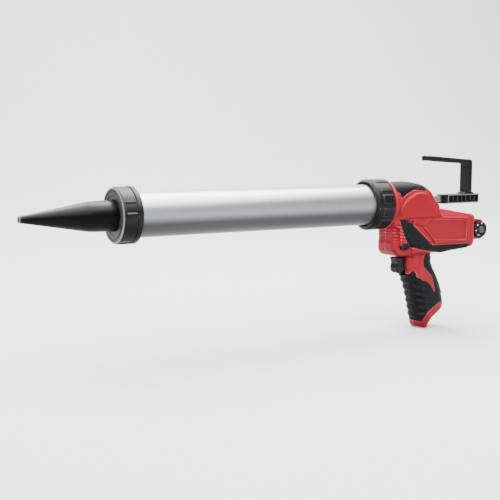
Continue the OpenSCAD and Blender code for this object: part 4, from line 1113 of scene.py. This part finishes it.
class GUN_OT_rings(bpy.types.Operator):
    """Build the front cap and the collar"""
    bl_idname = "gun.rings"
    bl_label = "Front cap and collar"

    def execute(self, context):
        low, high = places("front_cap")
        start, end, outer = low[0], high[0], high[2]
        hole, bore = 18.6, 27.05
        profile = [
            (start + 1.2, hole, 0.3), (start + 1.2, hole + 4.6, 0.4), (start, hole + 5.4, 0.5),
            (start, hole + 8.4, 0.3), (start + 0.9, hole + 8.8, 0.3), (start + 0.9, hole + 10.4, 0.3),
            (start, hole + 10.8, 0.3), (start, outer - 2.4, 0.9), (start + 2.2, outer - 0.4, 1.2),
            (end - 8, outer - 0.4, 0.4), (end - 8, outer - 1.5, 0.3), (end - 6.6, outer - 1.5, 0.3),
            (end - 6.6, outer, 0.5), (end - 1.4, outer, 0.4), (end, outer - 1.4, 0.4), (end, bore, 0.3),
            (start + 5, bore, 0.2), (start + 5, hole, 0.2)]
        turned("front_cap_ring", profile, (0, 0, 0), 0, cap_relief(start, end, outer), around=360,
               longest=0.5, body="cap", slot="cap", finish=finish("front_cap_black"), nodes=("front_cap",))
        low, high = places("collar")
        _, tube_high = places("barrel_tube")
        start, end, outer = low[0], high[0], high[2]
        profile = [
            (start, 28.6, 0.4), (start, outer - 3.0, 0.8), (start + 2.8, outer, 1.0), (start + 7, outer, 0.5),
            (start + 7.6, outer - 1.3, 0.4), (end - 1, outer - 1.3, 0.6), (end, outer - 2.2, 0.4),
            (end, 30.95, 0.3), (tube_high[0] - 0.6, 30.95), (tube_high[0] - 0.6, 29.55),
            (tube_high[0] - 6.1, 29.55), (tube_high[0] - 6.1, 28.6)]
        turned("screw_collar", profile, (0, 0, 0), 0,
               collar_relief(start, end, outer, context.scene.gun_barrel.lugs), around=360, longest=0.5,
               body="collar", slot="cap", finish=finish("cap_black"), nodes=("collar",))
        return {"FINISHED"}


class GUN_OT_tube(bpy.types.Operator):
    """Build the bare metal tube"""
    bl_idname = "gun.tube"
    bl_label = "Barrel tube"

    def execute(self, context):
        low, high = places("barrel_tube")
        outer = high[2]
        inner = outer - 1.5
        profile = [(low[0], inner, 0.3), (low[0], outer, 0.4), (high[0], outer, 0.4), (high[0], inner, 0.3)]
        turned("metal_tube", profile, (0, 0, 0), 0, around=256, longest=6.0, body="barrel", slot="tube",
               finish=finish("tube_metal"), nodes=("barrel_tube",))
        return {"FINISHED"}


class GUN_OT_handle(bpy.types.Operator):
    """Build the block and hook at the rear of the push rod"""
    bl_idname = "gun.handle"
    bl_label = "Push rod handle"

    def execute(self, context):
        cell = context.scene.gun_controls.cell
        for name, made, node, black in (("rod_block", block_form(), "handle_block", "block_black"),
                                        ("pull_hook", hook_form(), "hook_handle", "handle_black")):
            form, low, high = made
            skinned(name, form, [c - 1 for c in low], [c + 1 for c in high], cell, body="rod", slot="handle",
                    finish=finish(black), nodes=(node,))
        return {"FINISHED"}


class GUN_OT_controls(bpy.types.Operator):
    """Build the trigger, the lock button and the speed dial"""
    bl_idname = "gun.controls"
    bl_label = "Trigger, lock and dial"

    def execute(self, context):
        cell = context.scene.gun_controls.cell
        black = finish("control_black")
        for name, made, node, body in (("squeeze_trigger", trigger_form(), "trigger", "trigger"),
                                       ("lock_slider", lock_form(), "lock_button", "lock_button")):
            form, low, high = made
            skinned(name, form, [c - 1 for c in low], [c + 1 for c in high], cell, body=body, slot="control",
                    finish=black, nodes=(node,))
        form, low, high, face = dial_form()
        skinned("dial_knob", form, [c - 1 for c in low], [c + 1 for c in high], cell * 0.8, body="dial",
                slot="control", finish=black, nodes=("speed_dial",))
        hub_low = [face[0] - HUB_R - 1, low[1] - 1, face[1] - HUB_R - 1]
        hub_high = [face[0] + HUB_R + 1, face[2] + 3.5, face[1] + HUB_R + 1]
        skinned("dial_hub", hub_form(face[0], face[1], low[1], face[2]), hub_low, hub_high, cell * 0.6,
                body="dial", slot="control", finish=finish("hub_grey"))
        reach = MARK_PLACE + MARK_R + 1
        low = [face[0] - reach, face[2] - 1.2, face[1] - reach]
        high = [face[0] + reach, face[2] + 1.4, face[1] + reach]
        skinned("dial_marks", marks_form(*face), low, high, cell * 0.5, body="dial", slot="control",
                finish=finish("mark_white"))
        return {"FINISHED"}


class GUN_OT_finishes(bpy.types.Operator):
    """Give every piece that keeps its own shape its finish"""
    bl_idname = "gun.finishes"
    bl_label = "Finishes of the other pieces"

    def execute(self, context):
        slots = {s["node"]: s["material_slot"] for s in frame["record"]["subparts"]}
        for name, node in frame["nodes"].items():
            if node.hide_render:
                continue
            if not node.material_slots:
                node.data.materials.append(None)
            for place in node.material_slots:
                place.material = finish(SLOT_FINISHES[slots[name]])
        return {"FINISHED"}


def area_lamp(name, place, aim, size, power):
    lamp = bpy.data.lights.new(name, "AREA")
    lamp.shape = "RECTANGLE"
    lamp.size, lamp.size_y = size
    lamp.energy = power * bpy.context.scene.gun_stage.light
    holder = bpy.data.objects.new(name, lamp)
    holder.location = place
    holder.rotation_mode = "QUATERNION"
    holder.rotation_quaternion = (Vector(aim) - Vector(place)).to_track_quat("-Z", "Y")
    bpy.context.collection.objects.link(holder)


class GUN_OT_stage(bpy.types.Operator):
    """Build the floor with its backdrop, the lamps and the camera"""
    bl_idname = "gun.stage"
    bl_label = "Stage"

    def execute(self, context):
        stage = context.scene.gun_stage
        floor_z = CAD_BOX[0].z - 0.0005
        towards = Vector((0.505, 0.863, 0))            # away from the camera, along the floor
        across = Vector((0.863, -0.505, 0))
        flat, bend = 2.2, 1.6                          # end of the level floor, radius of the bend behind it
        sweep = [(-4.0, 0.0), (flat, 0.0)]
        for a in np.linspace(0.1, math.pi / 2, 14):
            sweep.append((flat + bend * math.sin(a), bend - bend * math.cos(a)))
        sweep.append((flat + bend, 6.0))
        points, faces = [], []
        for reach, height in sweep:
            for side in (-6.0, 6.0):
                place = Vector((0.34, 0, floor_z)) + towards * reach + across * side + Vector((0, 0, height))
                points.append(tuple(place))
        for i in range(len(sweep) - 1):
            faces.append((2 * i, 2 * i + 1, 2 * i + 3, 2 * i + 2))
        mesh = bpy.data.meshes.new("floor")
        mesh.from_pydata(points, [], faces)
        mesh.shade_smooth()
        paper = Finish("pale_paper")
        colour = tuple(stage.floor_colour)
        grain = paper.noise(3.0, 4.0)
        mesh.materials.append(paper.surface(
            Base_Color=paper.mix(grain, tone(colour, 0.99), colour), Roughness=grain * 0.1 + 0.7))
        floor = bpy.data.objects.new("floor", mesh)
        context.collection.objects.link(floor)

        world = bpy.data.worlds.new("surround")
        context.scene.world = world
        world.use_nodes = True
        background = next(n for n in world.node_tree.nodes if n.type == "BACKGROUND")
        background.inputs["Color"].default_value = (1, 1, 1, 1)
        background.inputs["Strength"].default_value = stage.world
        centre = (0.34, 0.0, -0.02)
        area_lamp("overhead", (0.3, -0.1, 1.5), centre, (2.6, 2.3), 115)
        area_lamp("front", (-0.3, -1.45, 1.05), centre, (1.8, 0.6), 22)
        area_lamp("back", (0.9, 2.0, 2.8), (1.2, 2.2, 0), (4.5, 2.0), 300)

        camera = bpy.data.cameras.new("camera")
        camera.lens = stage.lens
        camera.sensor_width = 36.0
        camera.clip_start, camera.clip_end = 0.05, 30.0
        holder = bpy.data.objects.new("camera", camera)
        place, aim = Vector((-0.3191, -1.0484, 0.0909)), Vector((0.2942, 0.0, -0.0505))
        holder.location = place
        holder.rotation_mode = "QUATERNION"
        holder.rotation_quaternion = (aim - place).to_track_quat("-Z", "Y")
        context.collection.objects.link(holder)
        context.scene.camera = holder
        return {"FINISHED"}


class GUN_PT_panel(bpy.types.Panel):
    """Sizes, colours and builders of the caulking gun"""
    bl_idname = "GUN_PT_panel"
    bl_label = "Caulking Gun"
    bl_space_type = "VIEW_3D"
    bl_region_type = "UI"
    bl_category = "Caulking Gun"

    def draw(self, context):
        for owner in ("gun_housing", "gun_barrel", "gun_controls", "gun_stage"):
            group = getattr(context.scene, owner)
            box = self.layout.box()
            for key in group.bl_rna.properties.keys():
                if key not in ("rna_type", "name"):
                    box.prop(group, key)
        for operator in OPERATORS:
            self.layout.operator(operator.bl_idname)


OPERATORS = (GUN_OT_shells, GUN_OT_pads, GUN_OT_nozzle, GUN_OT_rings, GUN_OT_tube, GUN_OT_handle,
             GUN_OT_controls, GUN_OT_finishes, GUN_OT_stage)
GROUPS = {"gun_housing": HousingSettings, "gun_barrel": BarrelSettings, "gun_controls": ControlSettings,
          "gun_stage": StageSettings}


def register():
    for kind in (*GROUPS.values(), *OPERATORS, GUN_PT_panel):
        bpy.utils.register_class(kind)
    for name, group in GROUPS.items():
        setattr(bpy.types.Scene, name, bpy.props.PointerProperty(type=group))


def unregister():
    for name in GROUPS:
        delattr(bpy.types.Scene, name)
    for kind in reversed((*GROUPS.values(), *OPERATORS, GUN_PT_panel)):
        bpy.utils.unregister_class(kind)


def main():
    register()
    for operator in OPERATORS:
        group, name = operator.bl_idname.split(".")
        getattr(getattr(bpy.ops, group), name)()


if __name__ == "__main__":
    main()
